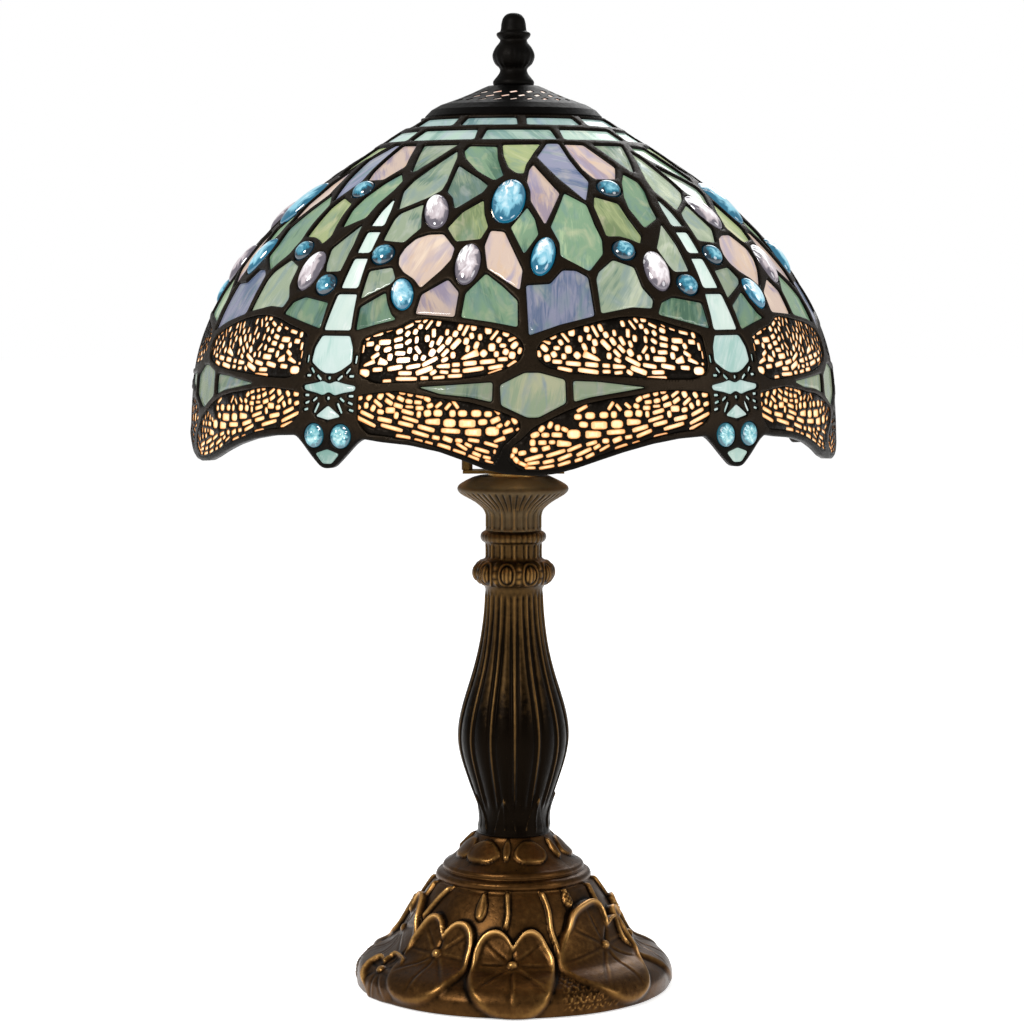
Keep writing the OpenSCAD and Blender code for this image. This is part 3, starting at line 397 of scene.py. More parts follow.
near_upper = moved(UPPER_CELLS, near_az, lambda u: 1.7 - 0.8 * (u - 5) / 28)
far_upper = moved(UPPER_CELLS, lambda u: u + 2.1 + 0.7 * (u - 5) / 28,
                  lambda u: 2.4 - 2.8 * (u - 5) / 28, True)
upper_loops = fit_cells(near_upper, UPPER_WINGS[0]) + fit_cells(far_upper, UPPER_WINGS[1])
near_lower = moved(LOWER_CELLS, near_az, lambda u: 1.6 - 1.0 * (u - 5) / 28)
top_rows = [c for c in LOWER_CELLS if c[0] < 28.6 and c[1] > 272]
far_lower = moved(top_rows, lambda u: u + 1.9, lambda u: 2.4 - 2.9 * (u - 5) / 23, True)
tips = moved(TIP_CELLS, lambda a: a - 0.8 * (a - 33) / 33, lambda a: -0.2 - 1.1 * (a - 33) / 33)
lower_loops = (fit_cells(near_lower, LOWER_WINGS[0]) + fit_cells(far_lower, LOWER_WINGS[1])
               + fit_cells(tips, LOWER_WINGS[1]))

# ---------------------------------------------------------------- one sector of the shade, triangulated
PANES = {"sage": SAGE, "jade": JADE, "yellow_green": YELLOW_GREEN, "peach": PEACH, "lilac": LILAC,
         "gap": GAPS, "crown_upper": CROWN_UPPER, "crown_lower": CROWN_LOWER, "tail": TAIL,
         "thorax": THORAX, "head": HEAD}
# What a loop is. A wing or a cell adds 1 for the upper pair and 2 for the lower pair.
WINDOW, WING, CELL = 10, 20, 30
# Distances in mm from a window's edge at which the solder's crest gets points.
BESIDE = (0.5, 1.15)


def closed(p):
    """The sides of a loop, each as its two ends."""
    return np.stack([p, np.roll(p, -1, 0)], 1)


def pane_loop(outline, cut=1.2):
    return round_loop(to_uv(*np.array(outline, float).T), cut)


def gem_loop(gem, n=28):
    az, z, half_width, half_length, lean = gem
    t = 2 * np.pi * np.arange(n) / n
    x, y = half_width * np.cos(t), half_length * np.sin(t)
    c, s = math.cos(math.radians(lean)), math.sin(math.radians(lean))
    centre = to_uv(az, z)
    return centre + np.stack([x * c + y * s, y * c - x * s], -1) / radius(centre)


def rim_line():
    """The shade's wavy lower edge with softened corners, a little past both sides of the sector."""
    rim = np.array(RIM + [(SECTOR_DEG + a, z) for a, z in RIM[:6]])
    rim = np.concatenate([[(a - SECTOR_DEG, z) for a, z in RIM[-5:]], rim])
    az = np.arange(-5, 77.01, 0.5)
    z = np.interp(az, rim[:, 0], rim[:, 1])
    z[1:-1] = np.convolve(z, [0.25, 0.5, 0.25], "valid")
    return to_uv(az, z)


def with_copies(items, tag):
    """Loops with their tag, and their copies that cross the sector's two straight sides."""
    out = []
    for p in items:
        lo, hi = p[:, 0].min(), p[:, 0].max()
        for shift in (-SECTOR, 0, SECTOR):
            if hi + shift > -0.1 and lo + shift < SECTOR + 0.1:
                out.append((p + [shift, 0], tag))
    return out


slit_loops = [bean(*dot, n=10) for dot in DOTS]
for az, z, long, short, lean in SLITS:
    slit_loops += [bean(az, z, long, short, lean, n=10), bean(-az, z, long, short, -lean, n=10)]
pane_loops = {family: [pane_loop(p) for p in outlines] for family, outlines in PANES.items()}
pane_loops["slit"] = [to_uv(*p.T) for p in slit_loops]
loops = []
for family_loops in pane_loops.values():
    loops += with_copies(family_loops, WINDOW)
loops += with_copies([gem_loop(g) for g in SMALL_BLUE + LARGE_BLUE + CLEAR + EYES], WINDOW)
for pair, outlines in ((1, UPPER_WINGS), (2, LOWER_WINGS)):
    loops += with_copies([pane_loop(p, 2.0) for p in outlines], WING + pair)
for pair, cells in ((1, upper_loops), (2, lower_loops)):
    loops += with_copies([to_uv(*p.T) for p in cells], CELL + pair)
rim_uv = rim_line()
v_top = float(VT[-1])
segments = np.concatenate([closed(p) for p, tag in loops if tag == WINDOW]
                          + [np.stack([rim_uv[:-1], rim_uv[1:]], 1)])
cell_segments = np.concatenate([closed(p) for p, tag in loops if tag > CELL])


def distance(pts, segs):
    """Distance in mm on the dome from each point to the nearest segment."""
    a, d = segs[:, 0], segs[:, 1] - segs[:, 0]
    dd = (d ** 2).sum(1) + 1e-18
    out = np.empty(len(pts))
    for i in range(0, len(pts), 400):
        p = pts[i:i + 400, None]
        t = np.clip(((p - a) * d).sum(-1) / dd, 0, 1)
        out[i:i + 400] = np.sqrt((((p - a) - t[..., None] * d) ** 2).sum(-1).min(1))
    return out * radius(pts)


def inside(pts, poly):
    a, b = poly, np.roll(poly, -1, 0)
    x, y = pts[:, :1], pts[:, 1:]
    cross = ((a[:, 1] > y) != (b[:, 1] > y)) & (
        x < (b[:, 0] - a[:, 0]) * (y - a[:, 1]) / (b[:, 1] - a[:, 1] + 1e-18) + a[:, 0])
    return cross.sum(1) % 2 == 1


def within(pts, loop):
    """Numbers of the points that lie inside a loop."""
    near = np.nonzero(((pts > loop.min(0)) & (pts < loop.max(0))).all(1))[0]
    return near[inside(pts[near], loop)]


def below_rim(pts):
    return pts[:, 1] < np.interp(pts[:, 0], rim_uv[:, 0], rim_uv[:, 1])


def offset_points(p, d):
    """Points d mm outside a loop's own points (negative: inside)."""
    t = np.roll(p, -1, 0) - np.roll(p, 1, 0)
    normal = np.stack([t[:, 1], -t[:, 0]], -1) / np.linalg.norm(t, axis=1, keepdims=True)
    turn = np.sign((p[:, 0] * np.roll(p[:, 1], -1) - p[:, 1] * np.roll(p[:, 0], -1)).sum())
    return p + normal * turn * d / radius(p)[:, None]


def thin_out(pts, gap):
    """Drops points that are closer than gap mm to one already kept."""
    cell = gap / 130
    seen, keep = {}, []
    for i, (x, y) in enumerate(pts):
        key = (int(x // cell), int(y // cell))
        close = [j for a in (-1, 0, 1) for b in (-1, 0, 1) for j in seen.get((key[0] + a, key[1] + b), ())]
        r = np.interp(y, VT, RT)
        if all(math.hypot(x - pts[j][0], y - pts[j][1]) * r >= gap for j in close):
            keep.append(i)
            seen.setdefault(key, []).append(i)
    return pts[keep]


def grid(spacing, lo=0.0, hi=SECTOR):
    """Staggered rows of points on the dome, spacing mm apart."""
    rows, v, odd = [], float(np.interp(RIM_Z, ZT, VT)), 0
    while v < VT[-1]:
        r = float(np.interp(v, VT, RT))
        du = spacing / r
        u = np.arange(lo + du * (0.5 + 0.5 * odd), hi - 0.3 * du, du)
        rows.append(np.stack([u, np.full(len(u), v)], -1))
        v += 0.87 * spacing / r
        odd = 1 - odd
    return np.concatenate(rows)


def solder_points():
    """Rows of points beside every edge of the solder, and a net over its wide places."""
    rows = [offset_points(p, d) for p, tag in loops if tag == WINDOW for d in BESIDE]
    rows += [rim_uv + [0, d / RIM_R] for d in BESIDE]
    pts = np.concatenate(rows)
    pts = pts[(pts[:, 0] > 0.004) & (pts[:, 0] < SECTOR - 0.004) & (pts[:, 1] < v_top)]
    pts = pts[distance(pts, segments) > 0.42]
    wide = grid(1.45)
    wide = wide[(distance(wide, segments) > 1.6) & (wide[:, 1] < v_top - 0.01)]
    pts = np.concatenate([pts, wide])
    drop = below_rim(pts)
    for p, tag in loops:
        if tag < CELL:
            drop[within(pts, p)] = True
    return thin_out(pts[~drop], 0.62)


def cell_points():
    """Points inside each small opening of the wings, for the tone of the glass seen there."""
    cells = [p for p, tag in loops if tag > CELL]
    pts = np.concatenate([offset_points(p, -0.42) for p in cells] + [p.mean(0)[None] for p in cells])
    return pts[(pts[:, 0] > 0.003) & (pts[:, 0] < SECTOR - 0.003)]


def triangulate():
    """One sector's points in uv and its triangles, with the loops, rim, sides and top as edges."""
    coords, edges = [], []

    def add_line(points, close=False):
        start, n = len(coords), len(points)
        coords.extend(points)
        edges.extend((start + i, start + (i + 1) % n) for i in range(n if close else n - 1))

    for p, _ in loops:
        add_line(p.tolist(), True)
    add_line(rim_uv.tolist())
    for u in (0.0, SECTOR):
        side = [np.interp(240, ZT, VT)] + np.linspace(np.interp(255, ZT, VT), v_top, 150).tolist()
        add_line([[u, float(v)] for v in side])
    add_line([[u, v_top] for u in np.linspace(-0.12, SECTOR + 0.12, 90)])
    coords += solder_points().tolist() + cell_points().tolist()
    out = delaunay_2d_cdt([Vector(c) for c in coords], edges, [], 0, 1e-6)
    return np.array([list(v) for v in out[0]]), np.array([list(f) for f in out[2]])


def kinds_of(centre):
    """What a triangle is: 0 lead, 1 and 2 filigree, 11 and 12 glass seen through it, -1 nothing."""
    kind = np.zeros(len(centre), int)
    for p, tag in sorted(loops, key=lambda item: (item[1] == WINDOW, item[1])):
        kind[within(centre, p)] = -1 if tag == WINDOW else tag - WING if tag < CELL else tag - CELL + 10
    outside = (centre[:, 0] < 0) | (centre[:, 0] > SECTOR) | (centre[:, 1] > v_top)
    kind[outside | below_rim(centre)] = -1
    return kind


def face_out(points, triangles):
    """Turns over the triangles that run clockwise."""
    a, b, c = (points[triangles[:, i]] for i in range(3))
    turned = np.cross(b - a, c - a) < 0
    triangles[turned] = triangles[turned][:, ::-1]


def seam_partners():
    """For each point on the sector's far side, the point on the near side that it meets."""
    left = np.nonzero(np.abs(uv[:, 0]) < 1e-5)[0]
    right = np.nonzero(np.abs(uv[:, 0] - SECTOR) < 1e-5)[0]
    left, right = left[np.argsort(uv[left, 1])], right[np.argsort(uv[right, 1])]
    partners = {}
    for i in right:
        j = left[np.argmin(np.abs(uv[left, 1] - uv[i, 1]))]
        if abs(uv[j, 1] - uv[i, 1]) < 2e-4:
            partners[int(i)] = int(j)
    return partners


uv, tris = triangulate()
count = len(uv)
kind = kinds_of(uv[tris].mean(1))
face_out(uv, tris)
partner = seam_partners()


def around(sector_tris):
    """Triangles of all sectors, with shared points on the joins."""
    out = []
    for k in range(SECTORS):
        index = np.arange(count) + k * count
        for i, j in partner.items():
            index[i] = j + ((k + 1) % SECTORS) * count
        out.append(index[sector_tris])
    return np.concatenate(out)


def unevenness(points):
    """Slow lumps in the solder, from -1 to 1."""
    lumps = [noise.noise(Vector(q) * 0.16) + 0.5 * noise.noise(Vector(q) * 0.5) for q in points]
    return np.clip(np.array(lumps) * 1.6, -1, 1)


def shade_points(off, lumps=0.0):
    """Points of all five sectors, off mm from the glass surface, with slight unevenness."""
    out = []
    for k in range(SECTORS):
        rise = off
        if lumps:
            flat = dome_points(uv, np.zeros(count), k * SECTOR)
            rise = off * (1 - lumps * (0.5 + 0.5 * unevenness(flat)))
        out.append(dome_points(uv, rise, k * SECTOR))
    return np.concatenate(out)


# ---------------------------------------------------------------- material helpers
def rgb(code):
    """A hex colour as linear RGBA."""
    c = [int(code[i:i + 2], 16) / 255 for i in (0, 2, 4)]
    return tuple(x / 12.92 if x <= 0.04045 else ((x + 0.055) / 1.055) ** 2.4 for x in c) + (1.0,)


class Look:
    """A material with one Principled shader, and short ways to add nodes."""

    def __init__(self, name, **constants):
        self.m = bpy.data.materials.new(name)
        self.m.use_nodes = True
        self.t = self.m.node_tree
        self.t.nodes.clear()
        out = self.t.nodes.new("ShaderNodeOutputMaterial")
        self.bsdf = self.t.nodes.new("ShaderNodeBsdfPrincipled")
        self.t.links.new(self.bsdf.outputs[0], out.inputs[0])
        for key, value in constants.items():
            self.bsdf.inputs[key.replace("_", " ")].default_value = value

    def node(self, kind, sockets=None, **props):
        n = self.t.nodes.new("ShaderNode" + kind)
        for k, v in props.items():
            setattr(n, k, v)
        for k, v in (sockets or {}).items():
            if isinstance(v, bpy.types.NodeSocket):
                self.t.links.new(v, n.inputs[k])
            else:
                n.inputs[k].default_value = v
        return n

    def math(self, op, a, b=0.0, c=0.0):
        return self.node("Math", {0: a, 1: b, 2: c}, operation=op).outputs[0]

    def attribute(self, name):
        return self.node("Attribute", attribute_name=name)

    def coords(self):
        return self.node("TexCoord").outputs["Object"]

    def noise(self, vector, scale, detail=3.0, rough=0.5, distortion=0.0):
        n = self.node("TexNoise", {"Vector": vector, "Scale": scale, "Detail": detail, "Roughness": rough,
                                   "Distortion": distortion})
        return n.outputs[0]

    def ramp(self, fac, stops, smooth=False):
        n = self.node("ValToRGB", {"Fac": fac})
        r = n.color_ramp
        r.interpolation = "EASE" if smooth else "LINEAR"
        while len(r.elements) < len(stops):
            r.elements.new(0.5)
        for e, (at, colour) in zip(r.elements, stops):
            e.position = at
            e.color = colour if len(colour) == 4 else tuple(colour) + (1.0,)
        return n.outputs[0]

    def grey(self, fac, *stops):
        return self.ramp(fac, [(at, (v, v, v, 1)) for at, v in stops])

    def mix(self, fac, a, b, blend="MIX"):
        n = self.node("Mix", {0: fac, 6: a, 7: b}, data_type="RGBA", blend_type=blend)
        return n.outputs[2]

    def scaled(self, vector, by):
        return self.node("VectorMath", {0: vector, 1: by}, operation="MULTIPLY").outputs[0]

    def swing(self, value, by):
        """A noise from 0 to 1 as one that runs from minus to plus half of by."""
        return self.math("MULTIPLY", self.math("SUBTRACT", value, 0.5), by)

    def dimmed(self, colour, by):
        return self.mix(1.0, colour, (by, by, by, 1), "MULTIPLY")

    def bump(self, height, strength, distance):
        n = self.node("Bump", {"Height": height, "Strength": strength, "Distance": distance})
        self.link("Normal", n.outputs[0])

    def link(self, name, socket):
        self.t.links.new(socket, self.bsdf.inputs[name])


def bulb_glow(look, near, far):
    """Strength of the painted glow from the bulb: 1 at near metres from the bulb's middle, 0 at far metres.
    """
    v = look.node("VectorMath", {0: look.coords(), 1: (0, 0, BULB_Z)}, operation="DISTANCE").outputs["Value"]
    return look.node("MapRange", {0: v, 1: near, 2: far, 3: 1.0, 4: 0.0}).outputs[0]


def sheet_glass(name, dark, main, light, tint, glow, blend):
    """Streaky opalescent sheet glass, glowing with painted light for the bulb shining through it."""
    k = Look(name, Roughness=0.18, Specular_IOR_Level=0.25, Coat_Weight=0.25, Coat_Roughness=0.05,
             Emission_Strength=glow)
    flow = k.attribute("flow").outputs["Vector"]
    tone = k.attribute("tone").outputs["Fac"]
    broad = k.noise(k.scaled(flow, (0.07, 0.03, 1.0)), 1.0, 2.0, 0.5, 0.8)
    fine = k.noise(k.scaled(flow, (0.55, 0.05, 1.0)), 1.0, 4.0, 0.6, 1.4)
    cloud = k.noise(k.scaled(flow, (0.13, 0.07, 1.7)), 1.0, 3.0, 0.55, 1.0)
    other = k.noise(k.scaled(flow, (0.1, 0.035, 2.3)), 1.0, 2.0, 0.5, 1.5)
    mixed = k.math("MULTIPLY_ADD", k.math("SUBTRACT", fine, 0.5), 0.55, broad)
    mixed = k.math("ADD", mixed, k.swing(tone, 0.25))
    colour = k.ramp(mixed, [(0.25, rgb(dark)), (0.47, rgb(main)), (0.6, rgb(main)), (0.82, rgb(light))], True)
    colour = k.mix(k.grey(other, (0.5, 0.0), (0.72, 0.75)), colour, rgb(blend))
    colour = k.mix(k.grey(cloud, (0.53, 0.0), (0.76, 0.6)), colour, rgb(tint))
    # Painted light: the glow is brighter near the bulb's middle, and each pane a little lighter or darker by
    # its own tone.
    near = bulb_glow(k, 0.09, 0.17)
    level = k.math("MULTIPLY_ADD", near, 0.3, 0.72)
    shade = k.math("MULTIPLY", level, k.math("MULTIPLY_ADD", tone, 0.3, 0.85))
    lit = k.mix(1.0, colour, k.node("CombineColor", {0: shade, 1: shade, 2: shade}).outputs[0], "MULTIPLY")
    k.link("Emission Color", lit)
    k.link("Base Color", k.dimmed(colour, 0.1))
    ripple = k.noise(k.scaled(flow, (0.25, 0.12, 1.0)), 1.0, 3.0, 0.5)
    k.bump(ripple, 0.35, 0.0006)
    return k.m


def wing_sheet(name, heart, edge, root, glow):
    """Warm glass behind the filigree, glowing with painted light for the bulb shining through: bright in each
    opening, orange at its edge and amber at the root.
    """
    k = Look(name, Roughness=0.25, Emission_Strength=glow)
    depth = k.attribute("depth").outputs["Fac"]
    flow = k.attribute("flow").outputs["Vector"]
    body = k.noise(k.scaled(flow, (0.12, 0.12, 1.0)), 1.0, 3.0, 0.6)
    amber = k.grey(k.math("ADD", k.attribute("tone").outputs["Fac"], k.math("MULTIPLY", body, 0.3)),
                   (0.18, 1.0), (0.5, 0.0))
    fine = k.noise(k.scaled(flow, (0.9, 0.5, 1.0)), 1.0, 3.0, 0.6)
    heart_c = k.mix(k.grey(fine, (0.4, 0.0), (0.8, 0.8)), rgb(heart), rgb("fff2d2"))
    heart_c = k.mix(amber, heart_c, rgb(root))
    colour = k.mix(k.grey(depth, (0.05, 1.0), (0.6, 0.0)), heart_c, rgb(edge))
    k.link("Emission Color", colour)
    k.link("Base Color", k.dimmed(colour, 0.3))
    k.bump(fine, 0.2, 0.0004)
    return k.m


def gem_glass(name, deep, main, light, glow, hot):
    """Cast glass jewel, glowing with painted light: clouded inside, darker towards its edge as painted shade,
    and with a painted hot spot where the bulb shines through.
    """
    k = Look(name, Roughness=0.03, Specular_IOR_Level=0.8, Coat_Weight=0.5, Coat_Roughness=0.02,
             Emission_Strength=glow)
    flow = k.attribute("flow").outputs["Vector"]
    parts = k.node("SeparateXYZ", {0: flow})
    flat = k.scaled(flow, (1.0, 1.0, 0.0))
    from_centre = k.node("VectorMath", {0: flat}, operation="LENGTH").outputs["Value"]
    cloud = k.noise(k.scaled(flow, (1.0, 1.0, 7.0)), 1.3, 3.0, 0.55, 1.2)
    crease = k.noise(k.scaled(flow, (1.0, 0.5, 9.0)), 4.5, 3.0, 0.6, 1.0)
    inner = k.math("ADD", cloud, k.swing(crease, 0.16))
    # Painted shade: darker towards the jewel's edge.
    inner = k.math("SUBTRACT", inner, k.grey(from_centre, (0.55, 0.0), (1.0, 0.42)))
    colour = k.ramp(inner, [(0.2, rgb(deep)), (0.4, rgb(main)), (0.66, rgb(light))], True)
    side = k.math("MULTIPLY_ADD", parts.outputs[1], 0.5, k.math("MULTIPLY", parts.outputs[0], -0.4))
    side = k.math("ADD", side, k.swing(crease, 1.2))
    side = k.math("SUBTRACT", side, k.grey(from_centre, (0.5, 0.0), (0.95, 0.5)))
    # Painted highlight: a white hot spot on one fixed side of the jewel, standing for the bulb shining
    # through.
    spot = k.grey(side, (hot, 0.0), (hot + 0.14, 1.0))
    colour = k.mix(spot, colour, (1.0, 1.0, 1.0, 1))
    k.link("Emission Color", colour)
    k.link("Base Color", k.dimmed(colour, 0.1))
    return k.m


def solder(name, base, shine, rough=0.42, metal=0.6):
    """Dark patinated solder: uneven, with lighter crests that are partly worn patina and partly painted
    sheen.
    """
    k = Look(name, Metallic=metal, Specular_IOR_Level=0.08)
    p = k.coords()
    patch = k.noise(p, 60, 4, 0.6)
    grain = k.noise(p, 700, 4, 0.65)
    crest = k.attribute("rub_and_shade").outputs["Fac"]
    # Lighter on the crests: partly worn patina, partly painted sheen.
    worn = k.math("ADD", crest, k.swing(grain, 0.5))
    wear_and_sheen = k.grey(worn, (0.55, 0.0), (1.15, 1.0))
    colour = k.mix(k.grey(patch, (0.35, 0.0), (0.7, 1.0)), rgb(base), rgb("0c0906"))
    colour = k.mix(wear_and_sheen, colour, rgb(shine))
    k.link("Base Color", colour)
    k.link("Roughness", k.grey(grain, (0.2, rough - 0.1), (0.8, rough + 0.14)))
    k.bump(k.math("MULTIPLY_ADD", grain, 0.4, patch), 0.35, 0.0005)
    return k.m


def cast_bronze(name, recess, mid, high, low_painted_shade=0.0, rough=0.36):
    """Antique bronze casting: dark in the recesses and gold brown on the crests, partly patina and rubbed
    wear, partly painted shade and painted highlight.
    """
    k = Look(name, Metallic=0.92, Specular_IOR_Level=0.12)
    p = k.coords()
    broad = k.noise(p, 26, 4, 0.6)
    grain = k.noise(p, 420, 5, 0.65)
    speck = k.noise(p, 1300, 3, 0.6)
    rub_and_shade = k.attribute("rub_and_shade").outputs["Fac"]
    value = k.math("ADD", rub_and_shade, k.swing(grain, 0.28))
    value = k.math("ADD", value, k.swing(broad, 0.4))
    # Painted shade: darker going down the column, from 190 mm to 86 mm above the base, by the given amount.
    if low_painted_shade:
        height = k.node("SeparateXYZ", {0: p}).outputs[2]
        dark = k.node("MapRange", {0: height, 1: 0.19, 2: 0.086, 3: 0.0, 4: low_painted_shade}).outputs[0]
        value = k.math("SUBTRACT", value, dark)
    colour = k.ramp(value, [(0.1, rgb(recess)), (0.4, rgb(mid)), (0.66, rgb("7a5a30")), (0.95, rgb(high))])
    k.link("Base Color", colour)
    k.link("Roughness", k.grey(grain, (0.2, rough - 0.08), (0.8, rough + 0.16)))
    k.bump(k.math("MULTIPLY_ADD", speck, 0.25, grain), 0.3, 0.0004)
    return k.m


def plain_metal(name, colour, dull, rough, metal=1.0, scale=300.0):
    """Turned or plated metal with fine brush marks and a little tarnish."""
    k = Look(name, Metallic=metal)
    p = k.coords()
    brush = k.noise(k.scaled(p, (1.0, 1.0, 6.0)), scale, 3, 0.6)
    spot = k.noise(p, 45, 4, 0.6)
    k.link("Base Color", k.mix(k.grey(spot, (0.4, 0.0), (0.75, 0.8)), rgb(colour), rgb(dull)))
    k.link("Roughness", k.grey(brush, (0.25, rough - 0.08), (0.75, rough + 0.12)))
    k.bump(brush, 0.15, 0.0002)
    return k.m


def moulded(name, colour, worn, rough=0.45, scale=500.0):
    """Moulded plastic, board or felt: fine grain and faint blotches."""
    k = Look(name)
    p = k.coords()
    grain = k.noise(p, scale, 5, 0.7)
    blot = k.noise(p, 40, 3, 0.5)
    k.link("Base Color", k.mix(k.grey(blot, (0.35, 0.0), (0.75, 1.0)), rgb(colour), rgb(worn)))
    k.link("Roughness", k.grey(grain, (0.2, rough - 0.06), (0.8, rough + 0.12)))
    k.bump(grain, 0.3, 0.0003)
    return k.m


LEAD = solder("patinated_solder", "0c0a07", "211910")
FILIGREE = solder("filigree_brass_dark", "120d08", "2f2212", 0.45)
IRON_BLACK = solder("blackened_iron", "040302", "0d0a08", 0.5, 0.5)
BRONZE = cast_bronze("bronze_foot", "0f0803", "4a3117", "c4965a", 0.0, 0.3)
# The column's bronze darkens lower down: painted shade.
BRONZE_COLUMN = cast_bronze("bronze_column", "0d0804", "4c381e", "bd9350", 0.5)
# The dish's bronze is a paler, greyer copy of the casting's: painted light from the bulb falling on it.
BRONZE_DISH_PAINTED_LAMPLIT = cast_bronze("bronze_dish_painted_lamplit", "1a130b", "524430", "94805e", 0.0, 0.48)
GLASS = {
    "sage": sheet_glass("glass_sage", "6e8a7a", "a2b196", "c8d1b6", "ccd0c6", 0.92, "859da2"),
    "jade": sheet_glass("glass_jade", "567a64", "84a484", "aec59c", "c6c8a2", 0.92, "6f9092"),
    "yellow_green": sheet_glass("glass_yellow_green", "869a6c", "b4c18a", "d6d8a8", "e8dcbe", 0.9, "8aa68c"),
    "peach": sheet_glass("glass_peach", "a999a8", "dcc4b4", "f0dac4", "e4be90", 0.94, "a6a0bc"),
    "lilac": sheet_glass("glass_lilac", "6b7c9c", "9ea0b8", "c0c0cc", "d6d0c2", 0.9, "7c9a9a"),
    "gap": sheet_glass("glass_olive", "6c8474", "9aaa8c", "b8ba98", "bdb4a6", 0.85, "8699a6"),
    "crown_upper": sheet_glass("glass_aqua", "6c8f90", "a0bbb6", "c2d4cc", "aeb8cc", 0.86, "7b9ca6"),
    "crown_lower": sheet_glass("glass_pale_mint", "8aaea2", "b8d3c4", "d8e6d6", "bcc0d2", 0.9, "8cb2ac"),
    "tail": sheet_glass("glass_white_mint", "bcdccf", "dceee4", "f4faf5", "eaf4f0", 0.98, "cbe4dc"),
    "thorax": sheet_glass("glass_thorax_mint", "b2dad0", "d8efe8", "f0fbf7", "e8f7f3", 1.0, "c0e2dc"),
    "head": sheet_glass("glass_head_mint", "9cc8bc", "c6e2d6", "e6f4ea", "eaf6ee", 0.92, "add4cc"),
}
# Each family of panes: its CAD node and its slot.
PANE_NODES = {
    "sage": ("leaf_panes_sage", "glass_sage"), "jade": ("leaf_panes_jade", "glass_jade"),
    "yellow_green": ("leaf_panes_yellow_green", "glass_yellow_green"),
    "peach": ("leaf_panes_peach", "glass_peach"), "lilac": ("leaf_panes_lilac", "glass_lilac"),
    "gap": ("gap_panes", "glass_olive"), "crown_upper": ("crown_panes_upper", "glass_aqua"),
    "crown_lower": ("crown_panes_lower", "glass_pale_mint"), "tail": ("tail_panes", "glass_white_mint"),
    "thorax": ("thorax_panes", "glass_white_mint"), "head": ("head_panes", "glass_white_mint"),
}

# ---------------------------------------------------------------- shade: solder lines, filigree, glass
# Distances in mm from the dome's glass surface, outward.
PROUD_LIMIT_R = 152.2
LEAD_INSIDE = -3.0
FILIGREE_OUTSIDE = 0.42
WING_GLASS_OUTSIDE = -0.12
PANE_OUTSIDE = -0.3
GLASS_INSIDE = -2.6
GEM_SEAT = -2.5
GEM_GIRDLE = 0.3


def all_sectors(values):
    return np.concatenate([values] * SECTORS)


def sheet_at(off, lumps=0.0):
    """Points of a sheet that lies off mm from the glass surface."""
    return shade_points(np.full(count, off), lumps)


def dome_piece(name, kinds, outer, inner, material, node, attrs):
    """A closed sheet over the triangles of some kinds, in all five sectors."""
    keep, numbers = np.unique(around(tris[np.isin(kind, kinds)]), return_inverse=True)
    verts, faces = shell(outer[keep], inner[keep], numbers.reshape(-1, 3))
    attrs = {k: np.concatenate([v[keep], v[keep]]) for k, v in attrs.items()}
    return make_object(name, verts, faces, "shade", [material], (node,), attrs)


def build_lead():
    crest = 1 - (1 - np.clip(distance(uv, segments) / 1.25, 0, 1)) ** 2
    height = np.minimum(1.0, PROUD_LIMIT_R - radius(uv)) * np.sqrt(np.clip(crest, 0, 1))
    dome_piece("lead_lattice_soldered", [0], shade_points(height, 0.22),
               shade_points(LEAD_INSIDE - 0.3 * height), LEAD, "lead_lattice",
               {"rub_and_shade": all_sectors(np.clip(height, 0, 1))})


def build_filigree(cell_d):
    outside, inside_face = sheet_at(FILIGREE_OUTSIDE, 0.1), sheet_at(0.0)
    # Lighter next to the openings and darker on the wide parts: partly wear, partly painted shade.
    rub_and_shade = all_sectors(np.clip(0.55 - cell_d * 0.3, 0, 1))
    for pair, wing in ((1, "upper"), (2, "lower")):
        dome_piece(wing + "_wing_filigree_pierced", [pair], outside, inside_face, FILIGREE,
                   wing + "_wing_filigree", {"rub_and_shade": rub_and_shade})


def build_wing_glass(cell_d):
    """Glass under the filigree. Its tone is amber near the spine and low down."""
    in_cell = np.zeros(count, bool)
    in_cell[np.unique(tris[kind >= 11])] = True
    depth = np.where(in_cell, np.clip(cell_d / 1.1, 0, 1), 0)
    spine = np.degrees(np.minimum(uv[:, 0], SECTOR - uv[:, 0]))
    z = np.interp(uv[:, 1], VT, ZT)
    tone = np.clip((spine - 4) / 14, 0, 1) * 0.7 + np.clip((z - 262) / 26, 0, 1) * 0.25
    tone[z > 291.5] = 1.0
    flow = [np.stack([uv[:, 0] * MEAN_R, uv[:, 1] * MEAN_R, np.full(count, 9.0 * s)], -1)
            for s in range(SECTORS)]
    attrs = {"depth": all_sectors(depth), "tone": all_sectors(tone), "flow": np.concatenate(flow)}
    outside, inside_face = sheet_at(WING_GLASS_OUTSIDE), sheet_at(GLASS_INSIDE)
    cream = wing_sheet("wing_glass_cream", "ffeac6", "e89a52", "fdd494", 1.06)
    dome_piece("upper_wing_glass_sheet", [1, 11], outside, inside_face, cream,
               "upper_wing_glass", attrs)
    amber = wing_sheet("wing_glass_amber", "fddc9c", "dc8a44", "f3b260", 1.02)
    dome_piece("lower_wing_glass_sheet", [2, 12], outside, inside_face, amber,
               "lower_wing_glass", attrs)


build_lead()
cell_distance = distance(uv, cell_segments)
build_filigree(cell_distance)
build_wing_glass(cell_distance)


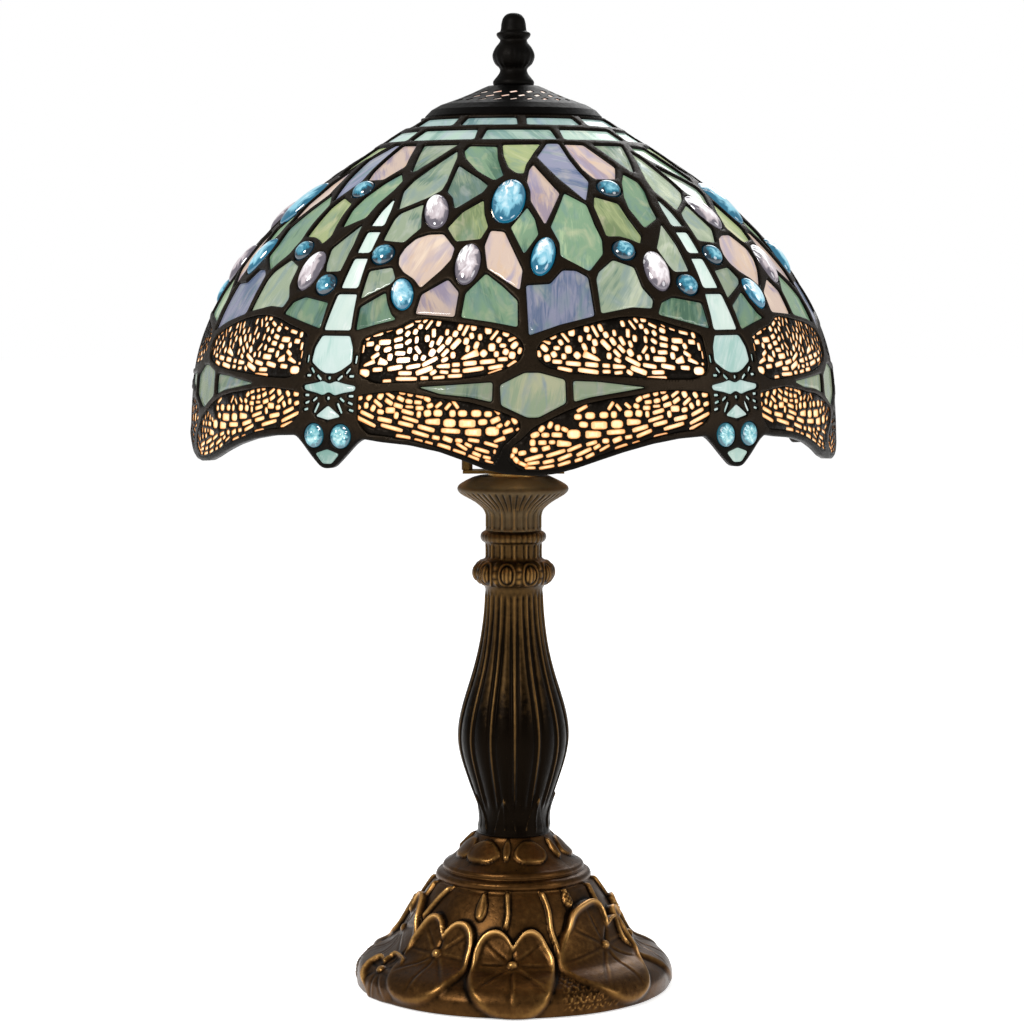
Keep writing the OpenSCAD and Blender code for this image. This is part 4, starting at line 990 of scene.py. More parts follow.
def pane_mesh(loop, spacing=2.3):
    """A flat-lying pane on the dome: its points in uv and its triangles."""
    if (loop[:, 0] * np.roll(loop[:, 1], -1) - loop[:, 1] * np.roll(loop[:, 0], -1)).sum() < 0:
        loop = loop[::-1]
    inner = grid(spacing, loop[:, 0].min(), loop[:, 0].max())
    inner = inner[within(inner, loop)]
    if len(inner):
        inner = inner[distance(inner, closed(loop)) > 0.9]
    pts = np.concatenate([loop, inner])
    out = delaunay_2d_cdt([Vector(p) for p in pts], [], [list(range(len(loop)))], 1, 1e-7)
    points, triangles = np.array([list(v) for v in out[0]]), np.array([list(f) for f in out[2]])
    face_out(points, triangles)
    return points, triangles


def relaxed(points, triangles):
    """Interior points pulled to a taut skin between the edge points."""
    free = np.ones(len(points), bool)
    free[np.unique(boundary(triangles))] = False
    e = np.concatenate([triangles[:, [0, 1]], triangles[:, [1, 2]], triangles[:, [2, 0]]])
    e = np.concatenate([e, e[:, ::-1]])
    p = points.copy()
    n = np.bincount(e[:, 0], minlength=len(p))[:, None]
    for _ in range(60):
        total = np.zeros_like(p)
        np.add.at(total, e[:, 0], p[e[:, 1]])
        p[free] = (total / np.maximum(n, 1))[free]
    return p


def turned_about_z(points, a):
    c, s = math.cos(a), math.sin(a)
    return points @ np.array([[c, s, 0], [-s, c, 0], [0, 0, 1]])


def build_panes(family, lean=24.0):
    """All panes of a family. Each has its own streak direction, place in the sheet and tone."""
    verts, faces, flow, tone = [], [], [], []
    base = 0
    for loop in pane_loops[family] + (pane_loops["slit"] if family == "thorax" else []):
        p, t = pane_mesh(loop)
        outer = relaxed(dome_points(p, PANE_OUTSIDE), t)
        inner = outer + dome_points(p, GLASS_INSIDE) - dome_points(p, PANE_OUTSIDE)
        local = (p - p.mean(0)) * radius(p)[:, None]
        for k in range(SECTORS):
            v, f = shell(turned_about_z(outer, k * SECTOR), turned_about_z(inner, k * SECTOR), t)
            a = math.radians(rng.normal(0, lean))
            seed = rng.uniform(0, 90)
            level = rng.uniform(0, 1)
            q = np.stack([local[:, 0] * math.cos(a) - local[:, 1] * math.sin(a),
                          local[:, 0] * math.sin(a) + local[:, 1] * math.cos(a), np.full(len(p), seed)], -1)
            verts.append(v)
            faces.append(f + base)
            flow.append(np.concatenate([q, q]))
            tone.append(np.full(2 * len(p), level))
            base += len(v)
    node, slot = PANE_NODES[family]
    make_object(node + "_sheet", np.concatenate(verts), np.concatenate(faces), "shade", [GLASS[family]],
                (node,), {"flow": np.concatenate(flow), "tone": np.concatenate(tone)})


for family in PANES:
    build_panes(family)


def place_on_dome(az, z):
    """A point of the glass surface, and the directions across, up and out of the dome there."""
    centre = dome_points(to_uv(az, z)[None], 0.0)[0]
    up = dome_points(to_uv(az, z + 0.5)[None], 0.0)[0] - dome_points(to_uv(az, z - 0.5)[None], 0.0)[0]
    up /= np.linalg.norm(up)
    out = dome_points(to_uv(az, z)[None], 1.0)[0] - centre
    return centre, np.cross(up, out), up, out


def gem_levels(rise, rings):
    """Share of the full size and height in mm of each ring of a gem, from its seat to near its top."""
    levels = [(1.0, GEM_SEAT), (1.0, GEM_GIRDLE)]
    for i in range(1, rings):
        q = math.cos(0.5 * math.pi * i / rings)
        levels.append((q, GEM_GIRDLE + (rise - GEM_GIRDLE) * (1 - q ** 2.3) ** 0.62))
    return levels


def ring_faces(m, n):
    """Triangles over m rings of n points, closed by a top point and then a bottom point."""
    out = []
    for i in range(m - 1):
        for j in range(n):
            k = (j + 1) % n
            out += [[i * n + j, i * n + k, (i + 1) * n + k], [i * n + j, (i + 1) * n + k, (i + 1) * n + j]]
    out += [[(m - 1) * n + j, (m - 1) * n + (j + 1) % n, m * n] for j in range(n)]
    out += [[(j + 1) % n, j, m * n + 1] for j in range(n)]
    return np.array(out)


def gem_points(gem, rise, facets, rings, n):
    """One gem's points in mm, and each point's place across the gem from -1 to 1."""
    az, z, a, b, lean = gem
    c, s = math.cos(math.radians(lean)), math.sin(math.radians(lean))
    centre, side, up, out = place_on_dome(az, z)
    t = 2 * np.pi * np.arange(n) / n
    points, places = [], []
    for q, h in gem_levels(rise, rings):
        x, y = q * a * np.cos(t), q * b * np.sin(t)
        heights = np.full(n, h)
        if facets and 0.3 < q < 1:
            wedge = np.abs(((t / (2 * np.pi) * facets) % 1) - 0.5) * 2
            heights = heights - 0.28 * wedge * (1 - q) * 2
        across, along = np.outer(x * c + y * s, side), np.outer(y * c - x * s, up)
        points.append(centre + across + along + np.outer(heights, out))
        places.append(np.stack([x / a, y / b], -1))
    points += [(centre + rise * out)[None], (centre + GEM_SEAT * out)[None]]
    return np.concatenate(points), np.concatenate(places + [np.zeros((2, 2))])


def build_gems(name, gems, rise, material, node, facets=0, rings=9, n=40):
    verts, faces, flow = [], [], []
    base = 0
    gem_faces = ring_faces(rings + 1, n)
    for gem in gems:
        points, places = gem_points(gem, rise, facets, rings, n)
        for k in range(SECTORS):
            seed = rng.uniform(0, 9)
            verts.append(turned_about_z(points, k * SECTOR))
            faces.append(gem_faces + base)
            flow.append(np.column_stack([places, np.full(len(places), seed)]))
            base += len(points)
    make_object(name, np.concatenate(verts), np.concatenate(faces), "shade", [material], (node,),
                {"flow": np.concatenate(flow)}, smooth=not facets)


SMALL_JEWEL = gem_glass("jewel_small_blue", "062a3a", "1f7b96", "8fd0e0", 0.95, 0.42)
LARGE_JEWEL = gem_glass("jewel_pale_blue", "1a6784", "86c6da", "d0ecf4", 1.02, 0.16)
CLEAR_JEWEL = gem_glass("jewel_clear", "66606a", "c4b8bc", "efe9ec", 1.04, 0.02)
EYE_JEWEL = gem_glass("jewel_eye_blue", "1d5f70", "68b4bf", "c2e8e6", 0.95, 0.36)
build_gems("cabochons_small_blue_cast", SMALL_BLUE, 3.4, SMALL_JEWEL, "cabochons_small_blue")
build_gems("cabochons_large_blue_cast", LARGE_BLUE, 3.4, LARGE_JEWEL, "cabochons_large_blue")
build_gems("cabochons_clear_cast", CLEAR, 3.4, CLEAR_JEWEL, "cabochons_clear")
build_gems("eye_jewels_cast", EYES, 1.6, EYE_JEWEL, "eye_jewels", facets=8)


# ---------------------------------------------------------------- castings: relief on surfaces of revolution
def smooth(a, b, x):
    """0 at a, 1 at b and smooth between them, where a may be the larger."""
    t = np.clip((x - a) / (b - a), 0, 1)
    return t * t * (3 - 2 * t)


def line_through(points, step, round_off=True):
    """Points every step mm along a smooth line through points."""
    p = np.array(points, float)
    if round_off:
        q = np.concatenate([[2 * p[0] - p[1]], p, [2 * p[-1] - p[-2]]])
        out = []
        for i in range(1, len(q) - 2):
            a, b, c, d = q[i - 1:i + 3]
            for t in np.linspace(0, 1, 12, endpoint=False):
                out.append(0.5 * (2 * b + (c - a) * t + (2 * a - 5 * b + 4 * c - d) * t * t
                                  + (3 * b - a - 3 * c + d) * t ** 3))
        p = np.array(out + [p[-1]])
    s = np.concatenate([[0], np.cumsum(np.hypot(*np.diff(p, axis=0).T))])
    at = np.linspace(0, s[-1], max(2, int(s[-1] / step) + 1))
    return np.stack([np.interp(at, s, p[:, 0]), np.interp(at, s, p[:, 1])], -1)


def arc(cx, cz, r, start, stop, n=8):
    a = np.radians(np.linspace(start, stop, n + 1))
    return [(cx + r * math.cos(x), cz + r * math.sin(x)) for x in a]


def ridges(h, times=4):
    """How far each place stands above its surroundings."""
    b = h.copy()
    for _ in range(times):
        b = (np.roll(b, 1, 1) + b + np.roll(b, -1, 1)) / 3
        pad = np.concatenate([b[:1], b, b[-1:]])
        b = (pad[:-2] + pad[1:-1] + pad[2:]) / 3
    return h - b


def revolve(name, outside, inside_line, n, relief, body, material, node, base_rub_and_shade, gain):
    """A closed surface of revolution. relief gives the outward height of the outside line's points."""
    prof = np.concatenate([outside, inside_line])
    m = len(outside)
    d = np.gradient(outside, axis=0)
    d /= np.linalg.norm(d, axis=1, keepdims=True)
    s = np.concatenate([[0], np.cumsum(np.hypot(*np.diff(outside, axis=0).T))])
    az = 2 * np.pi * np.arange(n) / n
    h = relief(np.degrees(az)[None, :], s[:, None], outside[:, :1], outside[:, 1:])
    r = np.repeat(prof[:, :1], n, 1)
    z = np.repeat(prof[:, 1:], n, 1)
    r[:m] += d[:, 1:] * h
    z[:m] -= d[:, :1] * h
    a = az[None, :]
    verts = np.stack([r * np.sin(a), -r * np.cos(a), z], -1).reshape(-1, 3)
    i, j = np.meshgrid(np.arange(len(prof)), np.arange(n), indexing="ij")
    i2, j2 = (i + 1) % len(prof), (j + 1) % n
    quads = np.stack([i * n + j, i * n + j2, i2 * n + j2, i2 * n + j], -1).reshape(-1, 4)
    rub_and_shade = np.full(len(prof) * n, base_rub_and_shade)
    # Lighter on the crests and darker in the hollows: partly the patina and rubbed wear of antique bronze,
    # partly painted shade and painted highlight, most of all in the broad term.
    rub_and_shade[:m * n] = np.clip(base_rub_and_shade + gain * (ridges(h, 3) * 0.7 + ridges(h, 14) * 0.4), 0, 1.1).ravel()
    return make_object(name, verts, quads, body, [material], (node,), {"rub_and_shade": rub_and_shade})


def wave(az, z, *terms):
    """Slow unevenness of a hand-finished surface."""
    out = 0
    for count_az, per_z, size, phase in terms:
        out = out + size * np.sin(np.radians(count_az * az) + per_z * z + phase)
    return out


def away(az, at):
    """Degrees from at to az, from -180 to 180."""
    return (az - at + 180) % 360 - 180


def rib(mm, height, width, dip, dip_at, dip_width):
    """A round rib with a shallow groove on each side, by the distance in mm from its middle."""
    return height * np.exp(-(mm / width) ** 2) - dip * np.exp(-((np.abs(mm) - dip_at) / dip_width) ** 2)


FOOT_PADS = [  # azimuth, height, size, turn of the notch, level
    (-62, 13, 13, -40, 0.2), (-84, 27, 20, -20, 0.3), (-40, 22.8, 20, 3, 0.9), (52, 24.8, 23, 38, 1.1),
    (-0.5, 20.3, 20, 2, 1.3), (90, 23, 22, -10, 0.5), (126, 21, 21, 12, 1.2), (165, 24, 22, -15, 0.5),
    (203, 20.5, 21, 6, 1.3), (240, 24, 21, 25, 0.6),
]
STEMS = [  # azimuth and height at the top, then at the foot, half width
    (-3.5, 50, -4.5, 37, 1.2), (21, 50, 23, 20, 1.3), (-52, 50, -64, 36, 1.3), (67, 50, 60, 31, 1.2),
    (93, 50, 97, 34, 1.2), (120, 50, 115, 32, 1.3), (148, 50, 151, 36, 1.2), (176, 50, 171, 34, 1.2),
    (206, 50, 205, 33, 1.3), (233, 50, 240, 35, 1.2), (262, 50, 257, 36, 1.2), (284, 50, 284, 37, 1.3),
]
BUDS = [  # azimuth, height, half width, half length
    (-20.5, 44.5, 2.7, 7.5), (-38, 66.5, 9.4, 7.4), (-8, 68, 1.9, 7), (20, 66.8, 8.2, 7.6),
    (55, 67.6, 1.9, 6.6), (88, 66.5, 9, 7.4), (122, 68, 1.9, 7), (154, 66.8, 8.4, 7.4),
    (187, 67.6, 1.9, 6.8), (222, 66.5, 9, 7.4), (256, 68, 1.9, 7), (289, 66.8, 8, 7.2),
    (38, 47, 2.6, 5.2), (188, 46.5, 2.6, 5.2), (136, 45, 2.5, 6),
]
SCALE_PATCHES = (33, 108, 184, 262)
VEINS = (0.85, 1.65, 2.45, 3.14, -2.45, -1.65, -0.85)
foot_line = line_through([(75, 0.9), (75.2, 4), (74.6, 8.2), (71.6, 12), (66.4, 15), (61, 17.3), (57.4, 20),
                          (53.6, 24.4), (50.2, 30), (47.2, 35.6), (44, 41.2), (40.4, 46.6), (38.2, 49.6)],
                         0.72)
ring_line = line_through([(36.2, 50.6)] + arc(34.8, 53, 2.3, -48, 78, 8) + arc(31.6, 57.1, 2.1, -35, 80, 7)
                         + [(28.4, 61.6), (24.9, 64.8), (22.2, 67.7), (19.2, 70.6), (17.7, 73)], 0.72)
foot_line = np.concatenate([foot_line, ring_line])


def along_foot(s, z):
    """Distance along the foot's outside line at a height."""
    return float(np.interp(z, foot_line[:, 1], s[:, 0]))


def foot_ground(az, s, z):
    """Uneven ground, with patches of scales between the pads near the rim."""
    ground = wave(az, z, (3, 0.1, 0.25, 0.4), (7, -0.2, 0.15, 2.0), (13, 0.35, 0.1, 1.1))
    row = (s - s[0, 0]) / 2.5
    shift = (np.floor(row) % 2) * 0.5
    cell = (az / 3 + shift) % 1 - 0.5
    scale = np.exp(-((np.hypot(cell * 2.1, row % 1 - 1.0) - 0.78) / 0.14) ** 2)
    patch = sum(smooth(17, 12, np.abs(away(az, at))) for at in SCALE_PATCHES)
    return ground + 0.75 * scale * patch * smooth(19, 15, z) * smooth(2.5, 4, z)


def with_stem(h, az, r, z, stem):
    at, top_z, low_at, low_z, half = stem
    t = np.clip((top_z - z) / (top_z - low_z), 0, 1)
    x = np.radians(away(az, at + (low_at - at) * t)) * r
    x = x + 0.5 * np.sin(z * 0.35 + at)
    body = 1.7 * np.sqrt(np.clip(1 - (x / half) ** 2, 0, 1))
    body = body * smooth(low_z - 2, low_z + 1, z) * smooth(51.5, 49, z)
    groove = -0.5 * np.exp(-((np.abs(x) - half - 0.8) / 0.7) ** 2)
    groove = groove * smooth(low_z, low_z + 2, z) * smooth(51, 48, z)
    return np.maximum(h + groove, body + 0.2 * (body > 0.05))


def with_bud(h, az, s, r, bud):
    """Narrow buds stand up, wide ones lie flat with a lip, and the small ones of 2.5 mm have seeds."""
    at, mid_z, half, length = bud
    x = np.radians(away(az, at)) * r
    y = (s - along_foot(s, mid_z)) / length
    side = half * np.clip(1 - np.abs(y) ** 1.8, 0, 1) ** 0.7 * (1 - 0.4 * y)
    q = np.abs(x) / np.maximum(side, 0.05)
    body = (1.9 if half < 3 else 1.5) * np.sqrt(np.clip(1 - q ** 2.4, 0, 1)) * smooth(1, 0.72, np.abs(y))
    if 2.4 < half < 2.65:
        body = body * (1 + 0.3 * np.sin(y * 14) * np.cos(x * 2.6))
    edge = 0.35 * np.exp(-((q - 0.85) / 0.12) ** 2) * smooth(0.9, 0.6, np.abs(y)) * (half > 3)
    return np.maximum(h, np.where(body > 0.02, body + edge, -9))


def pad_veins(rho, th, edge):
    """Sunken lines from the middle of a lily pad towards its edge, each with a low bank."""
    out = 0
    for v in VEINS:
        d = rho * np.sin(th - v)
        on = np.cos(th - v) > 0
        fork = np.exp(-((d - 0.25) / 0.75) ** 2) - 0.6 * np.exp(-((d + 1.2) / 0.8) ** 2)
        out = out - 0.3 * fork * on * smooth(3, 6, rho) * smooth(0.9 * edge, 0.55 * edge, rho)
    return out


def with_pad(h, az, s, r, lily_pad):
    """A lily pad with a notch at its top, a raised lip, veins and a knob in the middle."""
    at, mid_z, size, turn, level = lily_pad
    x0 = np.radians(away(az, at)) * (r * 0.75 + 14)
    y0 = s - along_foot(s, mid_z)
    a = math.radians(turn)
    x, y = x0 * math.cos(a) - y0 * math.sin(a), x0 * math.sin(a) + y0 * math.cos(a)
    rho, th = np.hypot(x, y), np.arctan2(x, y)
    turned = np.abs(th)
    edge = size * (1 - 0.42 * np.exp(-(th / 0.24) ** 2) + 0.05 * np.exp(-((turned - 0.6) / 0.3) ** 2)
                   + 0.6 * smooth(1.5, 2.9, turned) + 0.025 * np.sin(5 * th + at))
    upper = 1 - 0.95 * smooth(1.3, 2.3, turned)
    lip = np.exp(-((rho - edge + 1.9) / 1.5) ** 2) * 2.0 * upper
    fold = 0.9 * np.exp(-((turned - 2.2) / 0.35) ** 2) * (rho / edge)
    plate = 0.5 + 1.5 * (rho / edge) ** 2.5 * upper + fold
    crease = -0.8 * np.exp(-(x / 1.0) ** 2) * (y > 0) * smooth(1.5, 4, rho)
    knob = 1.7 * np.sqrt(np.clip(1 - (rho / 2.3) ** 2, 0, 1))
    skirt = smooth(0, 1.5 + 3.5 * (1 - upper), edge - rho)
    body = (level * smooth(0, 3.5, edge - rho) + plate + lip) * skirt
    pad = body + pad_veins(rho, th, edge) + crease + knob
    return np.where(rho < edge, np.maximum(pad, h), h)


def foot_relief(az, s, r, z):
    h = foot_ground(az, s, z)
    for stem in STEMS:
        h = with_stem(h, az, r, z, stem)
    for bud in BUDS:
        h = with_bud(h, az, s, r, bud)
    for lily_pad in FOOT_PADS:
        h = with_pad(h, az, s, r, lily_pad)
    return h * smooth(74, 70, z)


foot_in = [(5.2, 73), (5.2, 64), (12, 64), (20, 60), (30, 52), (37, 42), (44, 29), (51, 18), (60, 12.6),
           (68, 8.6), (70, 5.8), (70, 0.9)]
revolve("foot_casting_relief", foot_line, line_through(foot_in, 9, False), 560, foot_relief, "base", BRONZE,
        "foot_casting", 0.36, 0.6)

column_z = np.arange(73, 189.5, 0.9)
ring_and_neck = ([(13.7, 190.4)] + arc(12.4, 198, 6.4, -68, 68, 10)
                 + [(13.5, 205.2), (13.3, 208), (13.4, 211.2)]
                 + arc(12.6, 215, 2.9, -66, 66, 8) + [(13.2, 218)])
column_line = np.concatenate([np.stack([hermite(BALUSTER, column_z), column_z], -1),
                              line_through(ring_and_neck, 0.6)])
FLUTES = 14
FLUTE_GAP = 360 / FLUTES
FIRST_FLUTE = 1.4
LEAVES = 7
BEADS = 18


def column_shaft(az, r, z):
    """Flutes up the baluster, and pointed leaves round its narrow foot. Also the distance from a flute."""
    turn = away(az, FIRST_FLUTE) % FLUTE_GAP
    x = np.minimum(turn, FLUTE_GAP - turn) * np.sign(FLUTE_GAP / 2 - turn)
    mm = np.radians(x) * r
    panel = 0.3 * np.cos(np.radians(x) * FLUTES + np.pi)
    shaft = (rib(mm, 0.8, 0.8, 0.42, 1.75, 0.7) + panel) * smooth(84, 92, z) * smooth(190, 186, z)
    leaf_gap = 360 / LEAVES
    leaf_x = np.radians(away(az, 12) % leaf_gap - leaf_gap / 2) * r
    leaf_w = 5.2 * np.clip((92 - z) / 16, 0, 1) ** 0.7
    leaf = np.where(np.abs(leaf_x) < leaf_w, 0.7 + 0.35 * np.exp(-(leaf_x / 0.5) ** 2), 0)
    leaf = leaf * smooth(74, 77, z)
    return shaft + leaf * (z < 92), mm


def egg_ring(az, s, r):
    """Eggs in frames with darts between them, round the thick ring."""
    t = away(az, 8) % 36 - 18
    ex = np.radians(t) * r
    ey = s - float(np.interp(198, column_line[90:, 1], s[90:, 0]))
    egg = np.hypot(ex / 2.6, ey / 4.4)
    body = 1.0 * np.sqrt(np.clip(1 - egg ** 2, 0, 1))
    rim = 0.55 * np.exp(-((egg - 1.42) / 0.16) ** 2)
    dart = 0.6 * np.exp(-((np.abs(t) - 18) / 3.2) ** 2) * np.abs(np.cos(ey * 0.9)) ** 0.5
    lines = 0.22 * np.cos(ex * 3.4) * (egg < 0.9)
    return body + rim + dart + lines


def column_relief(az, s, r, z):
    h, mm = column_shaft(az, r, z)
    neck = rib(mm, 0.5, 0.55, 0.3, 1.3, 0.5) - 0.1
    h = h + neck * smooth(204.6, 206, z) * smooth(212.4, 211, z)
    on_ring = smooth(191.5, 193.4, z) * smooth(204.6, 202.8, z)
    h = h * (1 - on_ring) + egg_ring(az, s, r) * on_ring
    beads = 0.35 * np.abs(np.cos(np.radians(az) * BEADS)) * smooth(212.4, 213.4, z) * smooth(217.6, 216.6, z)
    h = h + beads * (0.4 + 0.6 * smooth(-0.3, 0.6, np.sin(np.radians(az * 2) + 1)))
    return h + wave(az, z, (3, 0.05, 0.14, 0.3), (5, -0.11, 0.08, 1.7)) * smooth(74, 80, z)


revolve("column_casting_relief", column_line, np.array([(5.2, 218), (5.2, 180), (5.2, 120), (5.2, 73)]), 336,
        column_relief, "base", BRONZE_COLUMN, "column_casting", 0.31, 1.0)

dish_line = line_through([(13.3, 218), (13.2, 222), (13.4, 226), (15.2, 229), (18, 231.4), (21.6, 233.6),
                          (24.8, 235.6), (26.2, 237), (26.3, 238.4), (25.2, 239.8), (21.6, 241.9),
                          (17.5, 243.7), (15, 244)], 0.45)


def dish_relief(az, _s, r, z):
    under = smooth(218.5, 220, z) * smooth(237.4, 235.4, z)
    mm = np.radians((away(az, FIRST_FLUTE) + FLUTE_GAP / 2) % FLUTE_GAP - FLUTE_GAP / 2) * r
    ribs = rib(mm, 0.55, 0.6, 0.3, 1.4, 0.55) * smooth(230, 226, z) - 0.2
    fine = (0.34 - 0.6 * np.abs(np.sin(np.radians(az) * 24)) ** 6) * smooth(226, 230, z)
    edge = wave(az, z, (3, 0, 0.22, 0.2), (5, 0, 0.16, 1.4), (11, 0, 0.1, 0.5)) * smooth(232, 236, z)
    return ((ribs + fine) * under + edge) * smooth(244, 243, z)


revolve("top_dish_fluted", dish_line, np.array([(5.2, 244), (5.2, 231), (5.2, 218)]), 480, dish_relief,
        "base", BRONZE_DISH_PAINTED_LAMPLIT, "top_dish", 0.36, 1.0)

finial_line = line_through([(9.3, 427.3), (9.6, 428), (9.5, 429.3), (8.2, 431), (6.9, 432.7), (6.3, 434.4),
                            (6.9, 435.8), (8.6, 437.6), (9.6, 440.2), (9.5, 442.4), (8.4, 445), (6.7, 447.2),
                            (6.3, 448.4), (7.2, 449.4), (8, 450.6), (7.8, 451.7), (6.3, 452.5), (5.9, 454),
                            (5.7, 456), (5, 458.4), (3.6, 460.1), (1.8, 460.85), (0.1, 461)], 0.4)


def finial_relief(az, _s, _r, z):
    lobes = 0.22 * np.abs(np.sin(np.radians(az) * 9)) * smooth(434, 437, z) * smooth(446.6, 440.5, z)
    return lobes + 0.12 * np.sin(np.radians(az * 2 + 30)) * smooth(449, 451, z) * smooth(453, 451.6, z)


revolve("finial_turned", finial_line, np.array([(3.05, 435.8), (3.05, 427.3)]), 128, finial_relief, "finial",
        IRON_BLACK, "finial", 0.25, 0.6)

# ---------------------------------------------------------------- carried-over CAD nodes
# The cap's outer skin as radius and height. Only what lies under it gets the painted glow.
CAP_SKIN = [(0, 427), (12, 427), (14.4, 426), (19.5, 423.6), (26.3, 420.8), (33, 418), (41.5, 413)]
CAP_LOW, CAP_SPAN = 410, 20
CAP_REACH = 24.0


def glowing(name, rough, strength, scale, dim, bright):
    """Something lit from inside: its light has faint clouds between two colours."""
    k = Look(name, Roughness=rough, Emission_Strength=strength)
    k.link("Emission Color", k.ramp(k.noise(k.coords(), scale), [dim, bright]))
    return k


def vented_iron():
    """Blackened iron, with a painted warm glow on the cap's inner side, standing for the bulb's light there,
    that shows in its vents.
    """
    k = Look("vented_cap_iron", Metallic=0.85, Specular_IOR_Level=0.05, Emission_Strength=1.25)
    p = k.coords()
    height = k.node("SeparateXYZ", {0: p}).outputs[2]
    flat = k.scaled(p, (1.0, 1.0, 0.0))
    across = k.node("VectorMath", {0: flat}, operation="LENGTH").outputs["Value"]
    skin = [(x * MM * CAP_REACH, (z - CAP_LOW) / CAP_SPAN) for x, z in CAP_SKIN]
    skin_z = k.grey(k.math("MULTIPLY", across, CAP_REACH), *skin)
    here = k.math("MULTIPLY", k.math("SUBTRACT", height, CAP_LOW * MM), 1 / (CAP_SPAN * MM))
    under = k.math("SUBTRACT", skin_z, here)
    within_ring = k.grey(across, (0.034, 1.0), (0.036, 0.0))
    inner_side = k.math("MULTIPLY", k.grey(under, (0.018, 0.0), (0.03, 1.0)), within_ring)
    warm = k.noise(p, 160, 3, 0.6)
    glow = k.ramp(warm, [(0.3, rgb("f5b89c")), (0.5, rgb("ffe9da")), (0.7, rgb("fffaf2"))])
    k.link("Emission Color", k.mix(inner_side, (0, 0, 0, 1), glow))
    grain = k.noise(p, 600, 4, 0.6)
    k.link("Base Color", k.ramp(grain, [(0.3, rgb("040302")), (0.75, rgb("0d0a08"))]))
    k.link("Roughness", k.grey(grain, (0.2, 0.42), (0.8, 0.62)))
    k.bump(grain, 0.3, 0.0003)
    return k.m


BRASS = plain_metal("turned_brass", "b08a4e", "6f5430", 0.3)
# Painted shade: brass darkened for the harp saddle and cap ring, which sit in shadow inside the shade.
SHADE_DARKENED_BRASS = plain_metal("brass_darkened_as_painted_shade", "54401f", "2c2113", 0.45)
ZINC = plain_metal("zinc_plate", "a8a8a4", "77756c", 0.38)
NICKEL = plain_metal("bulb_cap_metal", "b8b8b4", "8d8a80", 0.25)
CAST_IRON = plain_metal("ballast_iron", "3c3c3e", "2a2420", 0.6, 0.8, 120)
PLASTIC = moulded("black_plastic", "141414", "232120", 0.4)
FELT = moulded("green_felt", "26372b", "32463a", 0.9, 900)
BOARD = moulded("liner_board", "b9ad93", "9d8f74", 0.8)
lit = glowing("lit_bulb_glass", 0.3, 9.0, 20, (0.2, rgb("ffe9c4")), (0.8, rgb("fff4e2")))
lit.link("Base Color", lit.ramp(lit.noise(lit.coords(), 90), [(0.2, rgb("fff4e0")), (0.8, rgb("ffffff"))]))
wire = glowing("filament_ceramic", 0.4, 3.0, 200, (0.3, rgb("ffd890")), (0.7, rgb("fff0c8")))
MATERIALS = {
    ZINC: ["threaded_tube", "tube_nuts", "lock_washer", "switch_stem"],
    CAST_IRON: ["ballast_weight"],
    FELT: ["felt_pad"],
    PLASTIC: ["cord_bush", "socket_core", "switch_knob", "bulb_insulator"],
    BOARD: ["socket_liner"],
    SHADE_DARKENED_BRASS: ["harp_saddle", "cap_ring"],
    BRASS: ["check_ring", "harp_bow", "shade_stud", "shade_rest", "harp_sleeve_left",
            "harp_sleeve_right", "socket_cap", "socket_shell", "screw_shell", "centre_contact"],
    NICKEL: ["bulb_cap", "bulb_tip"],
    lit.m: ["bulb_glass"],
    wire.m: ["bulb_filament"],
    vented_iron(): ["vented_cap"],
}
for material, names in MATERIALS.items():
    for name in names:
        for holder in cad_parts[name].material_slots:
            holder.material = material

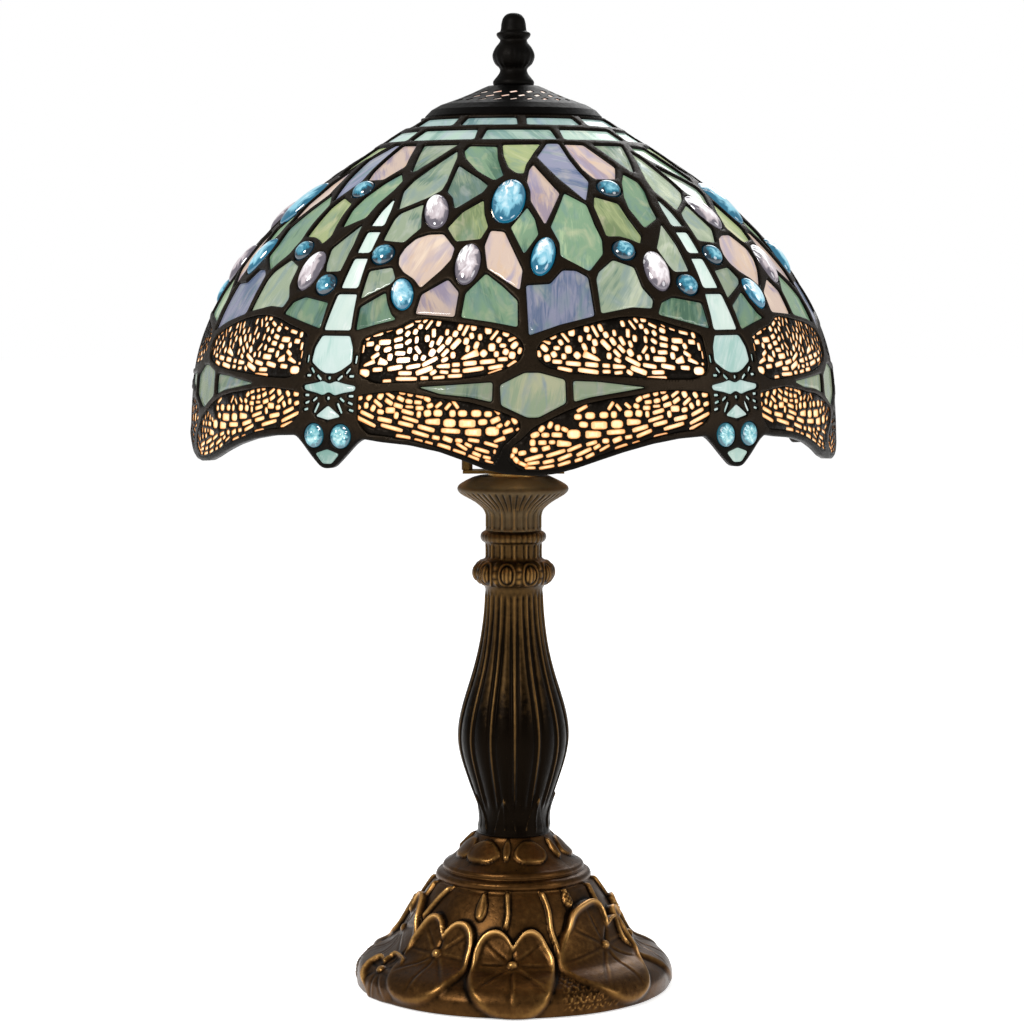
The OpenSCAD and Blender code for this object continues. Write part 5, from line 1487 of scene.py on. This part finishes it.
# ---------------------------------------------------------------- stage, light and camera
scene = bpy.context.scene
floor_mesh = bpy.data.meshes.new("floor")
floor_mesh.from_pydata([(-9, -9, 0), (9, -9, 0), (9, 9, 0), (-9, 9, 0)], [], [(0, 1, 2, 3)])
floor = bpy.data.objects.new("floor", floor_mesh)
scene.collection.objects.link(floor)
floor_look = Look("pale_floor", Roughness=0.8, Specular_IOR_Level=0.1, Emission_Strength=0.62)
floor_look.bsdf.inputs["Emission Color"].default_value = (1, 1, 1, 1)
floor_tone = floor_look.noise(floor_look.coords(), 3)
floor_look.link("Base Color", floor_look.ramp(floor_tone, [(0.3, (0.96,) * 3), (0.7, (0.98,) * 3)]))
floor_mesh.materials.append(floor_look.m)

world = bpy.data.worlds.new("studio")
world.use_nodes = True
backdrop = world.node_tree.nodes["Background"]
backdrop.inputs[0].default_value = (1, 1, 1, 1)
seen = world.node_tree.nodes.new("ShaderNodeLightPath")
strength = world.node_tree.nodes.new("ShaderNodeMapRange")
strength.inputs["To Min"].default_value = 0.42
strength.inputs["To Max"].default_value = 1.0
world.node_tree.links.new(seen.outputs["Is Camera Ray"], strength.inputs["Value"])
world.node_tree.links.new(strength.outputs[0], backdrop.inputs[1])
scene.world = world


def area(name, at, aim, size, power):
    """A round lamp at a place, aimed at another."""
    data = bpy.data.lights.new(name, "AREA")
    data.shape = "DISK"
    data.size = size
    data.energy = power
    o = bpy.data.objects.new(name, data)
    o.location = at
    o.rotation_euler = (Vector(aim) - Vector(at)).to_track_quat("-Z", "Y").to_euler()
    scene.collection.objects.link(o)


area("key", (-1.0, -1.3, 1.2), (0, 0, 0.15), 0.6, 30)
area("fill", (1.5, -0.9, 0.7), (0, 0, 0.15), 0.8, 9)
area("back", (0.3, 1.6, 1.3), (0, 0, 0.3), 1.0, 8)

cam_data = bpy.data.cameras.new("camera")
cam_data.lens = 104
cam_data.sensor_width = 36
cam_data.shift_x = -0.0015
cam_data.shift_y = 0.0073
cam_data.clip_start = 0.05
camera = bpy.data.objects.new("camera", cam_data)
camera.location = (0, -1.4, 0.345)
camera.rotation_euler = (Vector((0, 0, 0.223)) - camera.location).to_track_quat("-Z", "Y").to_euler()
scene.collection.objects.link(camera)
scene.camera = camera
scene.view_settings.view_transform = "Standard"
